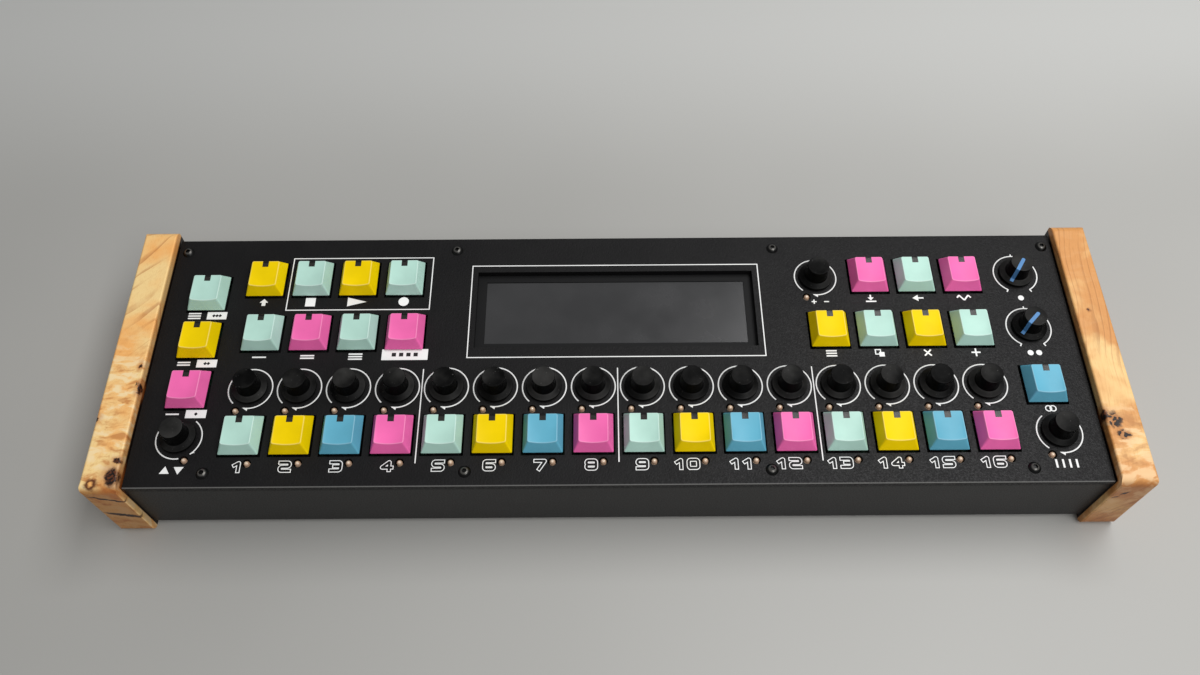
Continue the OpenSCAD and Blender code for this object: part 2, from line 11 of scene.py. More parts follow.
import bmesh
import bpy
from mathutils import Euler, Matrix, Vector


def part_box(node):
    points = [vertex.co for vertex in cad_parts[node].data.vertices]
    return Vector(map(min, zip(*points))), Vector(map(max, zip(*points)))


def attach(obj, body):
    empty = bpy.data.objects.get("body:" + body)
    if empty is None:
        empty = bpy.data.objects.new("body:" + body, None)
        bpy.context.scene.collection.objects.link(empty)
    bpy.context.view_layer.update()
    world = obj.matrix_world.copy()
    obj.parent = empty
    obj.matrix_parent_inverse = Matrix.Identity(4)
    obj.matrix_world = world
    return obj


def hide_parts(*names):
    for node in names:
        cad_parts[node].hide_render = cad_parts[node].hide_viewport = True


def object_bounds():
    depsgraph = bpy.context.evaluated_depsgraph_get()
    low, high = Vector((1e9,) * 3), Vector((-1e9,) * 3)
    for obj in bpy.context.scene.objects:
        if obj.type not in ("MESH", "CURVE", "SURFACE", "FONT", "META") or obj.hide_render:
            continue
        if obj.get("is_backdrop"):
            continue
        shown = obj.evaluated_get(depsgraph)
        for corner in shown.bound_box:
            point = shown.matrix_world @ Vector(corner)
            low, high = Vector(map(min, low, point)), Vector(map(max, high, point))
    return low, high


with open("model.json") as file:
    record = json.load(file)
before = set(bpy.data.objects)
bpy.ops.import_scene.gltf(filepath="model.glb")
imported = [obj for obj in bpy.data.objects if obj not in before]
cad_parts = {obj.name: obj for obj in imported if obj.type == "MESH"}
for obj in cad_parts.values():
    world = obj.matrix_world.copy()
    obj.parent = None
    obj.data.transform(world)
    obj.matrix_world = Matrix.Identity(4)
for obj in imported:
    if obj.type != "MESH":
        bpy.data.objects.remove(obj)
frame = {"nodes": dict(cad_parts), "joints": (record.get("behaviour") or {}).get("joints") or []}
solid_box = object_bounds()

scene = bpy.context.scene
MM = 0.001

# %% [markdown]
# ## Where things are
# A hinge's place gives a knob's middle, and a node's box gives a key's. Reading them from the frame
# keeps the prints and lamps beside the controls that they belong to, whatever their spacing is.


# %% Read the places of knobs and keys
def low_corner(node):
    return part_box(node)[0]/MM


def high_corner(node):
    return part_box(node)[1]/MM


def middle(node):
    return (low_corner(node) + high_corner(node))/2


HINGES = [joint for joint in frame["joints"] if joint["type"] == "hinge"]
KNOB_AT = {joint["child"]: Vector(joint["pos_m"][:2])/MM for joint in HINGES}
STEP_KNOBS = [f"step_knob_{i}" for i in range(1, 17)]
COLUMNS = [KNOB_AT[name].x for name in STEP_KNOBS]
KNOB_ROW = KNOB_AT["step_knob_1"].y
# A cap's middle lies a little behind its post
CAP_BACK = 0.3
STEP_ROW = middle("step_keys_mint").y - CAP_BACK
PANEL_TOP = high_corner("top_panel").z
PANEL_FRONT = low_corner("top_panel").y
print(f"panel top {PANEL_TOP:.1f} mm, {len(COLUMNS)} columns, step row at {STEP_ROW:.1f} mm")

# %% [markdown]
# ## Helpers for meshes
# Every piece is built in millimetres with bmesh, then scaled to metres inside its mesh, so that its
# object stays at the origin, unturned and unscaled. Most shapes are skins over rings of points.


# %% Keep a mesh as a riding piece
def keep_mesh(name, mesh, body):
    mesh.name = name
    piece = bpy.data.objects.new(name, mesh)
    scene.collection.objects.link(piece)
    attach(piece, body)
    return piece


def make_piece(name, bm, material, body, smooth=True):
    bmesh.ops.recalc_face_normals(bm, faces=bm.faces[:])
    bmesh.ops.scale(bm, vec=(MM, MM, MM), verts=bm.verts[:])
    mesh = bpy.data.meshes.new(name)
    bm.to_mesh(mesh)
    bm.free()
    mesh.materials.append(material)
    if smooth:
        mesh.shade_smooth()
    return keep_mesh(name, mesh, body)


# %% Directions and circles
def heading(degrees):
    """The direction at an angle, as a pair of numbers."""
    return Vector((math.cos(math.radians(degrees)), math.sin(math.radians(degrees))))


def sweep(start, stop, steps):
    """Directions from one angle to another in equal steps."""
    return [heading(start + (stop - start)*k/steps) for k in range(steps + 1)]


def circle(centre, radius, sides):
    return [centre + radius*out for out in sweep(0, 360, sides)[:-1]]


# %% Skins over rings of points
def add_rings(bm, rings, tips=(None, None), loop=False):
    """Skin a list of equal rings. The two ends can close on points, or on each other."""
    rows = [[bm.verts.new(point) for point in ring] for ring in rings]
    count = len(rows[0])
    following = rows[1:] + rows[:1] if loop else rows[1:]
    for low, high in zip(rows, following):
        for k in range(count):
            after = (k + 1) % count
            bm.faces.new((low[k], low[after], high[after], high[k]))
    for row, point in zip((rows[0], rows[-1]), tips):
        if point is not None:
            tip = bm.verts.new(point)
            for k in range(count):
                bm.faces.new((row[k], row[(k + 1) % count], tip))
    return rows


def close_ends(bm, rows):
    """Close a skin whose rings go along a strip's one side and come back along the other."""
    for row in (rows[0], rows[-1]):
        for k in range(len(row)//2 - 1):
            bm.faces.new((row[k], row[k + 1], row[-2 - k], row[-1 - k]))


def add_turned(bm, profile, centre, sides=72):
    """Turn a profile of (radius, height) pairs about an upright axis. Both ends lie on the axis."""
    rings = [[(*point, z) for point in circle(centre, radius, sides)] for radius, z in profile[1:-1]]
    add_rings(bm, rings, [(*centre, z) for radius, z in (profile[0], profile[-1])])


# %% [markdown]
# ## Helpers for materials
# A tree of nodes reads best as short sums. One class adds a node with its settings and links in one
# line, and others build on it: for patterns, for a new material, and for a node group with named inputs.
# Groups hold what several finishes share: a fine grain for paint and plastic, and a film of dust on what
# faces up.


# %% Short ways to add nodes
class Nodes:
    """Adds nodes to a tree. A value is a number, a vector, a colour or another node's output."""

    def __init__(self, tree):
        self.tree = tree

    def feed(self, node, inputs):
        for key, value in inputs.items():
            if isinstance(value, bpy.types.NodeSocket):
                self.tree.links.new(value, node.inputs[key])
            else:
                node.inputs[key].default_value = value

    def add(self, kind, inputs=None, **settings):
        node = self.tree.nodes.new(kind)
        for key, value in settings.items():
            setattr(node, key, value)
        self.feed(node, inputs or {})
        return node

    def chain(self, operation, first, *others):
        for other in others:
            first = self.add("ShaderNodeMath", {0: first, 1: other}, operation=operation).outputs[0]
        return first

    def plus(self, *values):
        return self.chain("ADD", *values)

    def minus(self, *values):
        return self.chain("SUBTRACT", *values)

    def times(self, *values):
        return self.chain("MULTIPLY", *values)

    def most(self, *values):
        return self.chain("MAXIMUM", *values)

    def vector(self, operation, a, b=(0.0, 0.0, 0.0)):
        node = self.add("ShaderNodeVectorMath", {0: a, 1: b}, operation=operation)
        return node.outputs["Value" if operation == "LENGTH" else "Vector"]

    def axis(self, vector, name):
        return self.add("ShaderNodeSeparateXYZ", {0: vector}).outputs[name]

    def normal(self):
        return self.add("ShaderNodeNewGeometry").outputs["Normal"]


# %% Short ways to add patterns
class Patterns(Nodes):
    """Adds mixes, ranges and noises too."""

    def mixed(self, factor, a, b, blend="MIX"):
        inputs = {0: factor, 6: a, 7: b}
        return self.add("ShaderNodeMix", inputs, data_type="RGBA", blend_type=blend).outputs[2]

    def ranged(self, value, low, high, to_low=0.0, to_high=1.0):
        inputs = {0: value, 1: low, 2: high, 3: to_low, 4: to_high}
        return self.add("ShaderNodeMapRange", inputs, interpolation_type="SMOOTHSTEP").outputs[0]

    def noise(self, place, scale, detail=3.0, roughness=0.5, output=0):
        inputs = {"Vector": place, "Scale": scale, "Detail": detail, "Roughness": roughness}
        return self.add("ShaderNodeTexNoise", inputs).outputs[output]

    def stretched(self, place, sizes, scale=1.0, **settings):
        """A noise that is drawn out along the axes."""
        return self.noise(self.vector("MULTIPLY", place, sizes), scale, **settings)

    def shaken(self, place, scale, reach, detail=2.0):
        """The place, moved about by a noise of this scale and reach."""
        drift = self.noise(place, scale, detail, output="Color")
        moved = self.vector("SUBTRACT", drift, (0.5, 0.5, 0.5))
        return self.vector("ADD", place, self.vector("MULTIPLY", moved, (2*reach, 2*reach, 2*reach)))


# %% A new material
class Finish(Patterns):
    """A material with only its shader, and the place on the piece in millimetres."""

    def __init__(self, name):
        self.material = bpy.data.materials.new(name)
        self.material.use_nodes = True
        super().__init__(self.material.node_tree)
        self.tree.nodes.clear()
        self.shader = self.add("ShaderNodeBsdfPrincipled")
        self.add("ShaderNodeOutputMaterial", {"Surface": self.shader.outputs[0]})
        metres = self.add("ShaderNodeTexCoord").outputs["Object"]
        inputs = {"Vector": metres, "Scale": (1/MM, 1/MM, 1/MM)}
        self.place = self.add("ShaderNodeMapping", inputs).outputs[0]

    def attribute(self, name):
        return self.add("ShaderNodeAttribute", attribute_name=name).outputs["Fac"]

    def uneven(self, scale, low, high, detail=3.0):
        """A number that drifts between two ends over the piece."""
        return self.ranged(self.noise(self.place, scale, detail), 0.3, 0.7, low, high)

    def bump(self, height, strength, reach):
        inputs = {"Height": height, "Strength": strength, "Distance": reach*MM}
        return self.add("ShaderNodeBump", inputs).outputs[0]

    def done(self, colour, roughness, **others):
        """Feed the shader. An underscore in a name stands for a space."""
        named = {name.replace("_", " "): value for name, value in others.items()}
        self.feed(self.shader, {"Base Color": colour, "Roughness": roughness, **named})
        return self.material


# %% Colours
WHITE = (1.0, 1.0, 1.0, 1.0)
BLACK = (0.0, 0.0, 0.0, 1.0)


def linear(red, green, blue):
    """A colour written as it looks on a screen, from 0 to 255, as the shader wants it."""
    def one(value):
        value /= 255
        return value/12.92 if value <= 0.04045 else ((value + 0.055)/1.055)**2.4
    return one(red), one(green), one(blue), 1.0


def between(a, b, share):
    """The colour that lies this share of the way from one to another."""
    return tuple(x + share*(y - x) for x, y in zip(a, b))


# %% A new node group
class Group(Patterns):
    """A node group. Its inputs and outputs are given as labels with their kinds of socket."""

    def __init__(self, name, inputs, outputs, kind="ShaderNodeTree"):
        super().__init__(bpy.data.node_groups.new(name, kind))
        self.names = {}
        for label, socket in inputs.items():
            self.names[label] = self.new_socket(label, "INPUT", socket).identifier
        for label, socket in outputs.items():
            self.new_socket(label, "OUTPUT", socket)
        self.start = self.tree.nodes.new("NodeGroupInput")
        self.end = self.tree.nodes.new("NodeGroupOutput")

    def new_socket(self, label, way, socket):
        return self.tree.interface.new_socket(label, in_out=way, socket_type="NodeSocket" + socket)

    def given(self, label):
        return self.start.outputs[label]


# %% Shared effects: fine grain, and a film of dust on what faces up
def make_grain():
    outputs = {"Height": "Float", "Patches": "Float"}
    group = Group("fine_grain", {"Place": "Vector", "Grains per mm": "Float"}, outputs)
    fine = group.noise(group.given("Place"), group.given("Grains per mm"), detail=2.0)
    broad = group.noise(group.given("Place"), 0.06)
    group.feed(group.end, {"Height": fine, "Patches": broad})
    return group.tree


def make_dust():
    group = Group("dust_film", {"Place": "Vector", "Amount": "Float"}, {"Dust": "Float"})
    level = group.ranged(group.axis(group.normal(), "Z"), 0.6, 1.0)
    cloud = group.noise(group.given("Place"), 0.05, detail=4.0)
    specks = group.noise(group.given("Place"), 1.3, detail=1.0)
    film = group.times(group.ranged(cloud, 0.35, 0.75), 0.5)
    both = group.plus(film, group.ranged(specks, 0.72, 0.80))
    group.feed(group.end, {"Dust": group.times(both, level, group.given("Amount"))})
    return group.tree


GRAIN = make_grain()
DUST = make_dust()
DUST_COLOUR = (0.45, 0.44, 0.42, 1.0)
print("shared groups:", GRAIN.name, DUST.name)

# %% [markdown]
# ## Paint, plastic and metal
# One function covers the plain finishes. Grain moves the roughness and a little bump, broad patches
# keep large faces from looking flat, and dust settles on top. A key's soft edge is a little paler, a
# painted highlight, and a line along the panel or the case can have a tone of its own: a painted
# highlight on the panel's front edge, a painted shadow under its lip. Numbers that stay the same all
# over a surface are set on the shader itself.


# %% One recipe for the plain finishes
def plain_finish(name, colour, roughness, grains=3.0, bump=0.02, dust=0.0, metallic=0.0, specular=0.5,
                 spread=0.08, edge=0.0, line=None):
    paint = Finish(name)
    grain_inputs = {"Place": paint.place, "Grains per mm": grains}
    grain = paint.add("ShaderNodeGroup", grain_inputs, node_tree=GRAIN).outputs
    film = paint.add("ShaderNodeGroup", {"Place": paint.place, "Amount": dust}, node_tree=DUST).outputs
    patches = paint.ranged(grain["Patches"], 0.3, 0.7)
    body = paint.mixed(patches, between(colour, BLACK, 0.12), colour)
    if edge:
        # The soft edge is painted paler, a painted highlight where the rounded edge catches the light
        edge_highlight = paint.times(paint.attribute("soft_edge"), edge)
        body = paint.mixed(edge_highlight, body, between(colour, WHITE, 0.45))
    if line:
        # A line's tone is painted light: a painted highlight along the panel's front edge, or a painted
        # shadow on the wall under its lip
        at, tone, half = line
        away = paint.vector("MULTIPLY", paint.vector("SUBTRACT", paint.place, at), (0.0, 1.0, 1.0))
        near = paint.ranged(paint.vector("LENGTH", away), 1.4*half, 0.6*half)
        body = paint.mixed(near, body, tone)
    dusty = paint.mixed(film["Dust"], body, DUST_COLOUR)
    rough = paint.ranged(grain["Height"], 0.25, 0.75, roughness - spread, roughness + spread)
    return paint.done(dusty, rough, Normal=paint.bump(grain["Height"], 0.5, bump), Metallic=metallic,
                      Specular_IOR_Level=specular)


# %% Case, panel and small parts
# A line is a place on it, its tone and its half width. The panel's front edge carries a painted highlight: a
# pale line where its rounded edge catches the light
EDGE_HIGHLIGHT_LINE = ((0.0, PANEL_FRONT, PANEL_TOP), linear(114, 113, 111), 0.45)
# The wall under the panel's lip is darkened by a painted shadow
SHADE_DROP = 1.2
SHADE_Z = low_corner("top_panel").z - SHADE_DROP
LIP_SHADOW_LINE = ((0.0, low_corner("base_tray").y, SHADE_Z), linear(2, 2, 2), 1.6)
PANEL_PAINT = plain_finish("panel_paint", linear(13, 12, 13), 0.52, grains=1.5, bump=0.26, dust=0.01,
                           specular=0.24, spread=0.13, line=EDGE_HIGHLIGHT_LINE)
CASE_PAINT = plain_finish("case_paint", linear(31, 30, 30), 0.5, grains=1.6, specular=0.35, line=LIP_SHADOW_LINE)
DISPLAY_FRAME = plain_finish("display_frame", linear(14, 14, 15), 0.6, grains=2.5, specular=0.25)
KNOB_RUBBER = plain_finish("knob_rubber", linear(5, 5, 5), 0.5, grains=4.0, dust=0.16, specular=0.07)
SWITCH_BLACK = plain_finish("switch_black", linear(30, 30, 32), 0.6)
SOCKET_BLACK = plain_finish("socket_black", linear(24, 24, 25), 0.45)
STEEL = plain_finish("turned_steel", linear(176, 178, 180), 0.32, grains=6.0, metallic=1.0)
BOARD_GREEN = plain_finish("board_green", linear(26, 66, 45), 0.4, grains=2.0)
PRINT_INK = plain_finish("print_ink", linear(252, 252, 250), 0.55, bump=0.01)
PRINT_DARK = plain_finish("print_dark", linear(24, 24, 25), 0.55, bump=0.01)
POINTER_PAINT = plain_finish("pointer_paint", linear(76, 134, 190), 0.45, bump=0.01)

# %% Plastic of the keys
# Tone, shine, and how pale the painted highlight on the soft edge is
KEY_TONES = {
    "mint": (linear(190, 230, 216), 0.3, 0.45), "yellow": (linear(255, 219, 0), 0.1, 0.3),
    "blue": (linear(101, 180, 206), 0.3, 0.3), "pink": (linear(255, 112, 184), 0.3, 0.3),
}
KEY_PLASTIC = {
    name: plain_finish("key_" + name, tone, 0.42, bump=0.012, specular=shine, spread=0.05, edge=edge)
    for name, (tone, shine, edge) in KEY_TONES.items()
}
print("plain finishes:", len(bpy.data.materials))


# %% Blackened screws, with a painted highlight on the flat of the head and painted shade round it and in the socket
def rubbed_screw():
    metal = Finish("screw_black")
    top = high_corner("panel_screws").z
    # The flat of the head is painted pale as a highlight; the dome's sloping sides and the socket are painted
    # dark as shade
    high = metal.ranged(metal.axis(metal.place, "Z"), top - 0.6, top - 0.3)
    level = metal.ranged(metal.axis(metal.normal(), "Z"), 0.75, 0.97)
    tone = metal.mixed(metal.times(high, level), linear(12, 12, 12), linear(104, 102, 98))
    return metal.done(tone, metal.uneven(5.0, 0.28, 0.42), Metallic=0.6)


SCREW_BLACK = rubbed_screw()
print("screws:", SCREW_BLACK.name)

# %% [markdown]
# ## Figured wood
# Each cheek is one block of burl, so its pattern has to run through the block, round every edge.
# That is why it is worked out in space, from the place on the piece, and not painted on the faces.
# Warm clouds come first. Growth lines are the height lines of a stretched noise, as on a map, so they
# run side by side and bend together. Ripples cross them where the fibres curl, and the curl's sheen is
# painted in as bright and dim bands. The end grain is deeper in colour, knots and bark pockets lie at
# chosen places, and a painted shadow darkens each inner face along the panel's edge. The two cheeks
# share one recipe.

# %% Tones of the wood, and where each cheek lies
WOOD_TONES = {
    "left": (linear(255, 220, 152), linear(255, 188, 110), linear(176, 94, 36)),
    "right": (linear(246, 204, 138), linear(216, 152, 88), linear(136, 76, 32)),
}
END_GRAIN = {"left": (0.56, 0.38, 0.26, 1.0), "right": (0.70, 0.60, 0.54, 1.0)}
BARK_BROWN = linear(96, 50, 24)
# Near black for the bark, and for the painted shadow along the panel's edge
BARK_AND_SHADOW_BLACK = linear(24, 13, 9)
CHEEK_TOP = high_corner("left_cheek").z
CHEEK_FRONT = low_corner("left_cheek").y
LEFT_IN = high_corner("left_cheek").x
LEFT_OUT = low_corner("left_cheek").x
RIGHT_IN = low_corner("right_cheek").x
print(f"cheeks {LEFT_IN - LEFT_OUT:.1f} mm thick, their top at {CHEEK_TOP:.1f} mm")

# %% Figure of each cheek, in millimetres
# Turn of the growth lines about the upright axis, their lean, how many lie in a millimetre and their bend
GROWTH = {"left": (0.41, 1.0, 0.25, 6.0), "right": (0.08, -0.55, 0.30, 6.0)}
# Where the growth lines come up, from front to back, and how strong they are
LINED = {"left": (-8.0, 22.0, 0.12, 0.9), "right": (-34.0, 4.0, 0.10, 0.7)}
# Stretches along the cheek over which the wood grows paler or deeper, and by how much
FADES = {
    "left": [(26.0, 4.0, 0.06, -0.08), (-24.0, -46.0, 0.0, 0.18), (30.0, 46.0, 0.0, -0.03)],
    "right": [(16.0, -8.0, -0.18, 0.10), (-24.0, -40.0, 0.0, -0.20)],
}
# Where the ripples start and are full, from back to front, and how strong they are at both
RIPPLES = {"left": (14.0, -16.0, 0.06, 1.0), "right": (-22.0, -40.0, 0.06, 0.6)}
# Each bark pocket is a middle and three half sizes
BARK_POCKETS = {
    "left": [
        ((LEFT_IN - 2.4, -63.0, CHEEK_TOP - 1), (2.8, 4.2, 5)),
        ((LEFT_IN - 1.5, -55.5, CHEEK_TOP), (1.6, 1.2, 2)),
        ((LEFT_OUT, -35, CHEEK_TOP - 1), (1.5, 1.6, 3)),
        ((LEFT_IN, -19.5, CHEEK_TOP - 1), (1.1, 2.6, 3)),
        ((LEFT_IN - 2, -8, CHEEK_TOP), (0.8, 1.4, 2)),
    ],
    "right": [
        ((RIGHT_IN, -36.5, CHEEK_TOP - 1), (1.3, 2.6, 4)),
        ((RIGHT_IN + 6.5, 19, CHEEK_TOP), (0.5, 0.6, 1)),
    ],
}
# Each streak on a front end is a middle, three half sizes and its slope
STREAKS = {
    "left": [((LEFT_OUT + 9.2, CHEEK_FRONT, 39.6), (7.5, 3, 0.9), -0.45),
             ((LEFT_OUT + 9.6, CHEEK_FRONT, 21.2), (7.2, 3, 1.5), -0.36)],
    "right": [((RIGHT_IN + 2.9, CHEEK_FRONT, 34.8), (1.5, 2, 0.8), 0.7),
              ((RIGHT_IN + 4.8, CHEEK_FRONT, 39.0), (1.7, 2, 1.0), 0.8)],
}
# An eye is a brown ring round a pale heart
EYE_KNOTS = {"left": [((LEFT_OUT + 5.2, -66.3, CHEEK_TOP - 0.5), (2.8, 2.5, 2.6))], "right": []}
# Each cluster of pin knots is a middle and three half sizes
PIN_CLUSTERS = {
    "left": [((LEFT_IN - 0.8, -18, CHEEK_TOP), (0.9, 2.2, 3))],
    "right": [((RIGHT_IN + 3.6, -38.8, CHEEK_TOP), (3.4, 3.8, 5)),
              ((RIGHT_IN + 6.3, -46, CHEEK_TOP), (3.1, 2.4, 5))],
}
print("bark pockets:", {side: len(pockets) for side, pockets in BARK_POCKETS.items()})


# %% Masks that fade out
def pocket_mask(wood, place, centre, half_sizes, slope=0.0, soft=0.35):
    """1 inside an ellipsoid, falling to 0 round its edge. A slope tilts it along X."""
    away = wood.vector("SUBTRACT", place, centre)
    if slope:
        x, y, z = [wood.axis(away, name) for name in "XYZ"]
        level = wood.minus(z, wood.times(x, slope))
        away = wood.add("ShaderNodeCombineXYZ", {0: x, 1: y, 2: level}).outputs[0]
    distance = wood.vector("LENGTH", wood.vector("DIVIDE", away, half_sizes))
    return wood.ranged(distance, 1.0 - soft, 1.0 + soft, 1.0, 0.0)


def joint_grime(wood, side):
    """1 on a cheek's inner face along the panel's edge, fading out over the panel: a painted shadow in the
    gap between them.
    """
    inner = 1 if side == "left" else -1
    inward = wood.ranged(wood.axis(wood.normal(), "X"), 0.8*inner, 0.95*inner)
    low = wood.ranged(wood.axis(wood.place, "Z"), PANEL_TOP + 1.6, PANEL_TOP + 0.2)
    beside = wood.ranged(wood.axis(wood.place, "Y"), PANEL_FRONT - 0.2, PANEL_FRONT + 0.2)
    return wood.times(inward, low, beside)


# %% Growth lines, fibres and ripples
def wood_figure(wood, side):
    """The plain wood's colour and its fibres, before the knots."""
    light, honey, deep = WOOD_TONES[side]
    turn, lean, rate, bend = GROWTH[side]
    facing = wood.vector("ABSOLUTE", wood.normal())
    to_end = wood.ranged(wood.axis(facing, "Y"), 0.55, 0.95)
    to_side = wood.ranged(wood.axis(facing, "X"), 0.55, 0.95, 0.0, 0.5)
    soft = wood.shaken(wood.place, 0.03, 9.0)
    front = wood.axis(soft, "Y")
    clouds = wood.plus(wood.noise(soft, 0.05), *[wood.ranged(front, *fade) for fade in FADES[side]])
    tone = wood.mixed(wood.ranged(clouds, 0.34, 0.64), honey, light)
    bent = wood.shaken(wood.place, 0.014, bend)
    grain = wood.add("ShaderNodeMapping", {"Vector": bent, "Rotation": (0.0, lean, turn)}).outputs[0]
    wander = wood.times(wood.stretched(grain, (0.14, 0.006, 0.02)), 3.0)
    rings = wood.chain("FRACT", wood.plus(wood.times(wood.axis(grain, "X"), rate), wander), 0.0)
    late = wood.times(wood.ranged(rings, 0.66, 0.95), wood.ranged(rings, 1.0, 0.96))
    broken = wood.ranged(wood.stretched(grain, (0.10, 0.014, 0.05)), 0.40, 0.62, 0.04, 0.60)
    shown = wood.most(wood.ranged(front, *LINED[side]), wood.times(to_end, 0.7))
    lined = wood.mixed(wood.times(late, broken, shown), tone, deep)
    fibres = wood.stretched(grain, (1.5, 0.10, 1.5), 1.3, detail=4.0, roughness=0.65)
    fibred = wood.mixed(wood.ranged(fibres, 0.45, 0.78, 0.0, 0.22), lined, deep)
    amount = wood.ranged(front, *RIPPLES[side])
    waves = wood.stretched(wood.shaken(wood.place, 0.07, 5.0), (0.11, 0.27, 0.09), roughness=0.55)
    # The ripples' bright and dim bands are painted sheen and painted shade of the curled fibres, laid over
    # their figure
    bright = wood.times(wood.ranged(waves, 0.49, 0.62), amount)
    dim = wood.times(wood.ranged(waves, 0.49, 0.30, 0.0, 0.8), amount)
    painted_sheen = wood.mixed(bright, fibred, between(light, WHITE, 0.15))
    rippled = wood.mixed(dim, painted_sheen, between(honey, deep, 0.7))
    ends = wood.mixed(1.0, rippled, END_GRAIN[side], blend="MULTIPLY")
    plain = wood.mixed(wood.most(to_end, to_side), rippled, ends)
    # Along the panel's edge the inner face is painted near black, a painted shadow
    return wood.mixed(joint_grime(wood, side), plain, BARK_AND_SHADOW_BLACK), fibres


# %% Knots and bark, and the whole material
def figured_wood(side):
    wood = Finish(side + "_wood")
    colour, fibres = wood_figure(wood, side)
    honey, deep = WOOD_TONES[side][1:]
    ragged = wood.shaken(wood.place, 0.45, 1.5, detail=3.0)
    streaks = wood.most(*[pocket_mask(wood, ragged, *streak) for streak in STREAKS[side]])
    pockets = [pocket_mask(wood, ragged, *pocket) for pocket in BARK_POCKETS[side]]
    bark = wood.most(*pockets, streaks)
    halos = [pocket_mask(wood, ragged, at, Vector(half)*1.9, soft=0.55) for at, half in BARK_POCKETS[side]]
    near = wood.most(*[pocket_mask(wood, ragged, *cluster) for cluster in PIN_CLUSTERS[side]])
    cells = wood.add("ShaderNodeTexVoronoi", {"Vector": ragged, "Scale": 0.44, "Randomness": 0.85},
                     voronoi_dimensions="2D").outputs["Distance"]
    pins = wood.times(wood.ranged(cells, 0.48, 0.36), near)
    stained = wood.mixed(wood.times(wood.most(*halos, near), 0.55), colour, deep)
    brown = wood.mixed(bark, stained, BARK_BROWN)
    for at, half in EYE_KNOTS[side]:
        ring = wood.mixed(pocket_mask(wood, ragged, at, half, soft=0.4), brown, BARK_BROWN)
        brown = wood.mixed(pocket_mask(wood, ragged, at, Vector(half)*0.4, soft=0.6), ring, honey)
    core = wood.ranged(wood.noise(wood.place, 0.8, detail=2.0), 0.42, 0.56)
    black = wood.most(wood.times(bark, core), wood.times(streaks, 0.7), pins)
    sunk = wood.minus(wood.times(fibres, 0.2), wood.most(bark, pins))
    return wood.done(wood.mixed(black, brown, BARK_AND_SHADOW_BLACK), wood.ranged(fibres, 0.3, 0.7, 0.40, 0.52),
                     Normal=wood.bump(sunk, 0.4, 0.15), Specular_IOR_Level=0.35)


WOOD = {side: figured_wood(side) for side in WOOD_TONES}
print("wood nodes:", len(WOOD["left"].node_tree.nodes), len(WOOD["right"].node_tree.nodes))

# %% [markdown]
# ## Display glass, smoked windows and lamp lenses
# The display is dark glass that shows a soft reflection. The key windows are smoked plastic, darker
# towards the back, where the lamp sits. The lamp lenses are milky, with a paler middle. The last two
# read an attribute of their own mesh, because the tone belongs to each small piece and not to its place.


# %% Glass, window and lens materials
def display_glass():
    glass = Finish("display_glass_dark")
    haze = glass.uneven(0.03, 0.0, 1.0, detail=2.0)
    tone = glass.mixed(haze, linear(50, 50, 51), linear(56, 56, 57))
    return glass.done(tone, glass.uneven(0.08, 0.20, 0.28, detail=4.0))


def smoked_window():
    window = Finish("smoked_window")
    depth = window.ranged(window.attribute("toward_back"), 0.42, 0.58)
    tone = window.mixed(depth, linear(44, 43, 40), linear(18, 17, 16))
    return window.done(tone, window.uneven(0.8, 0.18, 0.3), Specular_IOR_Level=0.28)


def lamp_lens():
    lens = Finish("lamp_lens_milky")
    away = lens.ranged(lens.attribute("from_axis"), 0.1, 0.75)
    tone = lens.mixed(away, linear(232, 213, 190), linear(184, 153, 128))
    return lens.done(tone, lens.uneven(1.5, 0.12, 0.22), Subsurface_Weight=0.3,
                     Subsurface_Radius=(0.001, 0.0008, 0.0006))


GLASS = display_glass()
SMOKED = smoked_window()
LENS = lamp_lens()
print("clear materials:", GLASS.name, SMOKED.name, LENS.name)

# %% [markdown]
# ## Finishes for the solids that stay as they are
# The panel, the tray, the cheeks, the boards and the fasteners already have their true shape, so they
# keep their meshes and only get a finish.

# %% Paint the solids
SOLID_FINISHES = {
    "top_panel": PANEL_PAINT, "base_tray": CASE_PAINT,
    "left_cheek": WOOD["left"], "right_cheek": WOOD["right"],
    "control_board": BOARD_GREEN, "socket_board": BOARD_GREEN, "display_module": DISPLAY_FRAME,
    "display_glass": GLASS, "key_switches": SWITCH_BLACK, "encoder_bodies": STEEL,
    "board_pillars": STEEL, "panel_screws": SCREW_BLACK, "cheek_screws": STEEL,
    "rear_sockets": SOCKET_BLACK, "value_shaft": STEEL,
}
for node_name, finish in SOLID_FINISHES.items():
    solid = frame["nodes"][node_name].data
    solid.materials.clear()
    solid.materials.append(finish)
print("solids painted:", len(SOLID_FINISHES))

# %% [markdown]
# ## Key caps
# A cap is a hollow moulding: straight walls that lean in, a top hollowed along the key's depth, soft
# edges, and a post underneath. A skin over rings of points gives full control of the soft edges. Each
# ring is a rectangle with round corners, and the top ring follows the hollow.

# %% Sizes of a cap, in millimetres
CAP_RIM_HALF = (high_corner("link_key") - low_corner("link_key")).to_2d()/2
CAP_GAP = 0.9
CAP_RIM_Z = PANEL_TOP + CAP_GAP
CAP_HIGH = high_corner("link_key").z - CAP_RIM_Z
CAP_TOP_HALF = Vector((6.55, 6.75))
CAP_DISH = 0.9
CAP_DISH_BACK = 0.2
CAP_EDGE = 0.38
CAP_CORNER = (0.5, 0.8)
CAP_WALL = 1.3
CAP_CEILING = CAP_HIGH - CAP_DISH - CAP_WALL
RIM_BEVEL = 0.15
# Where the straight wall starts over the rim, and how much of it shows under the soft edge
WALL_FOOT, WALL_HEAD = 0.4, 0.25
INNER_CORNER = 0.3
POST_RADIUS = 2.8
POST_BEVEL = 0.3
POST_OVERLAP = 0.3
POST_LOW = low_corner("link_key").z
WALL_LEAN, BACK_LEAN = [math.atan2(slant, CAP_HIGH) for slant in CAP_RIM_HALF - CAP_TOP_HALF]
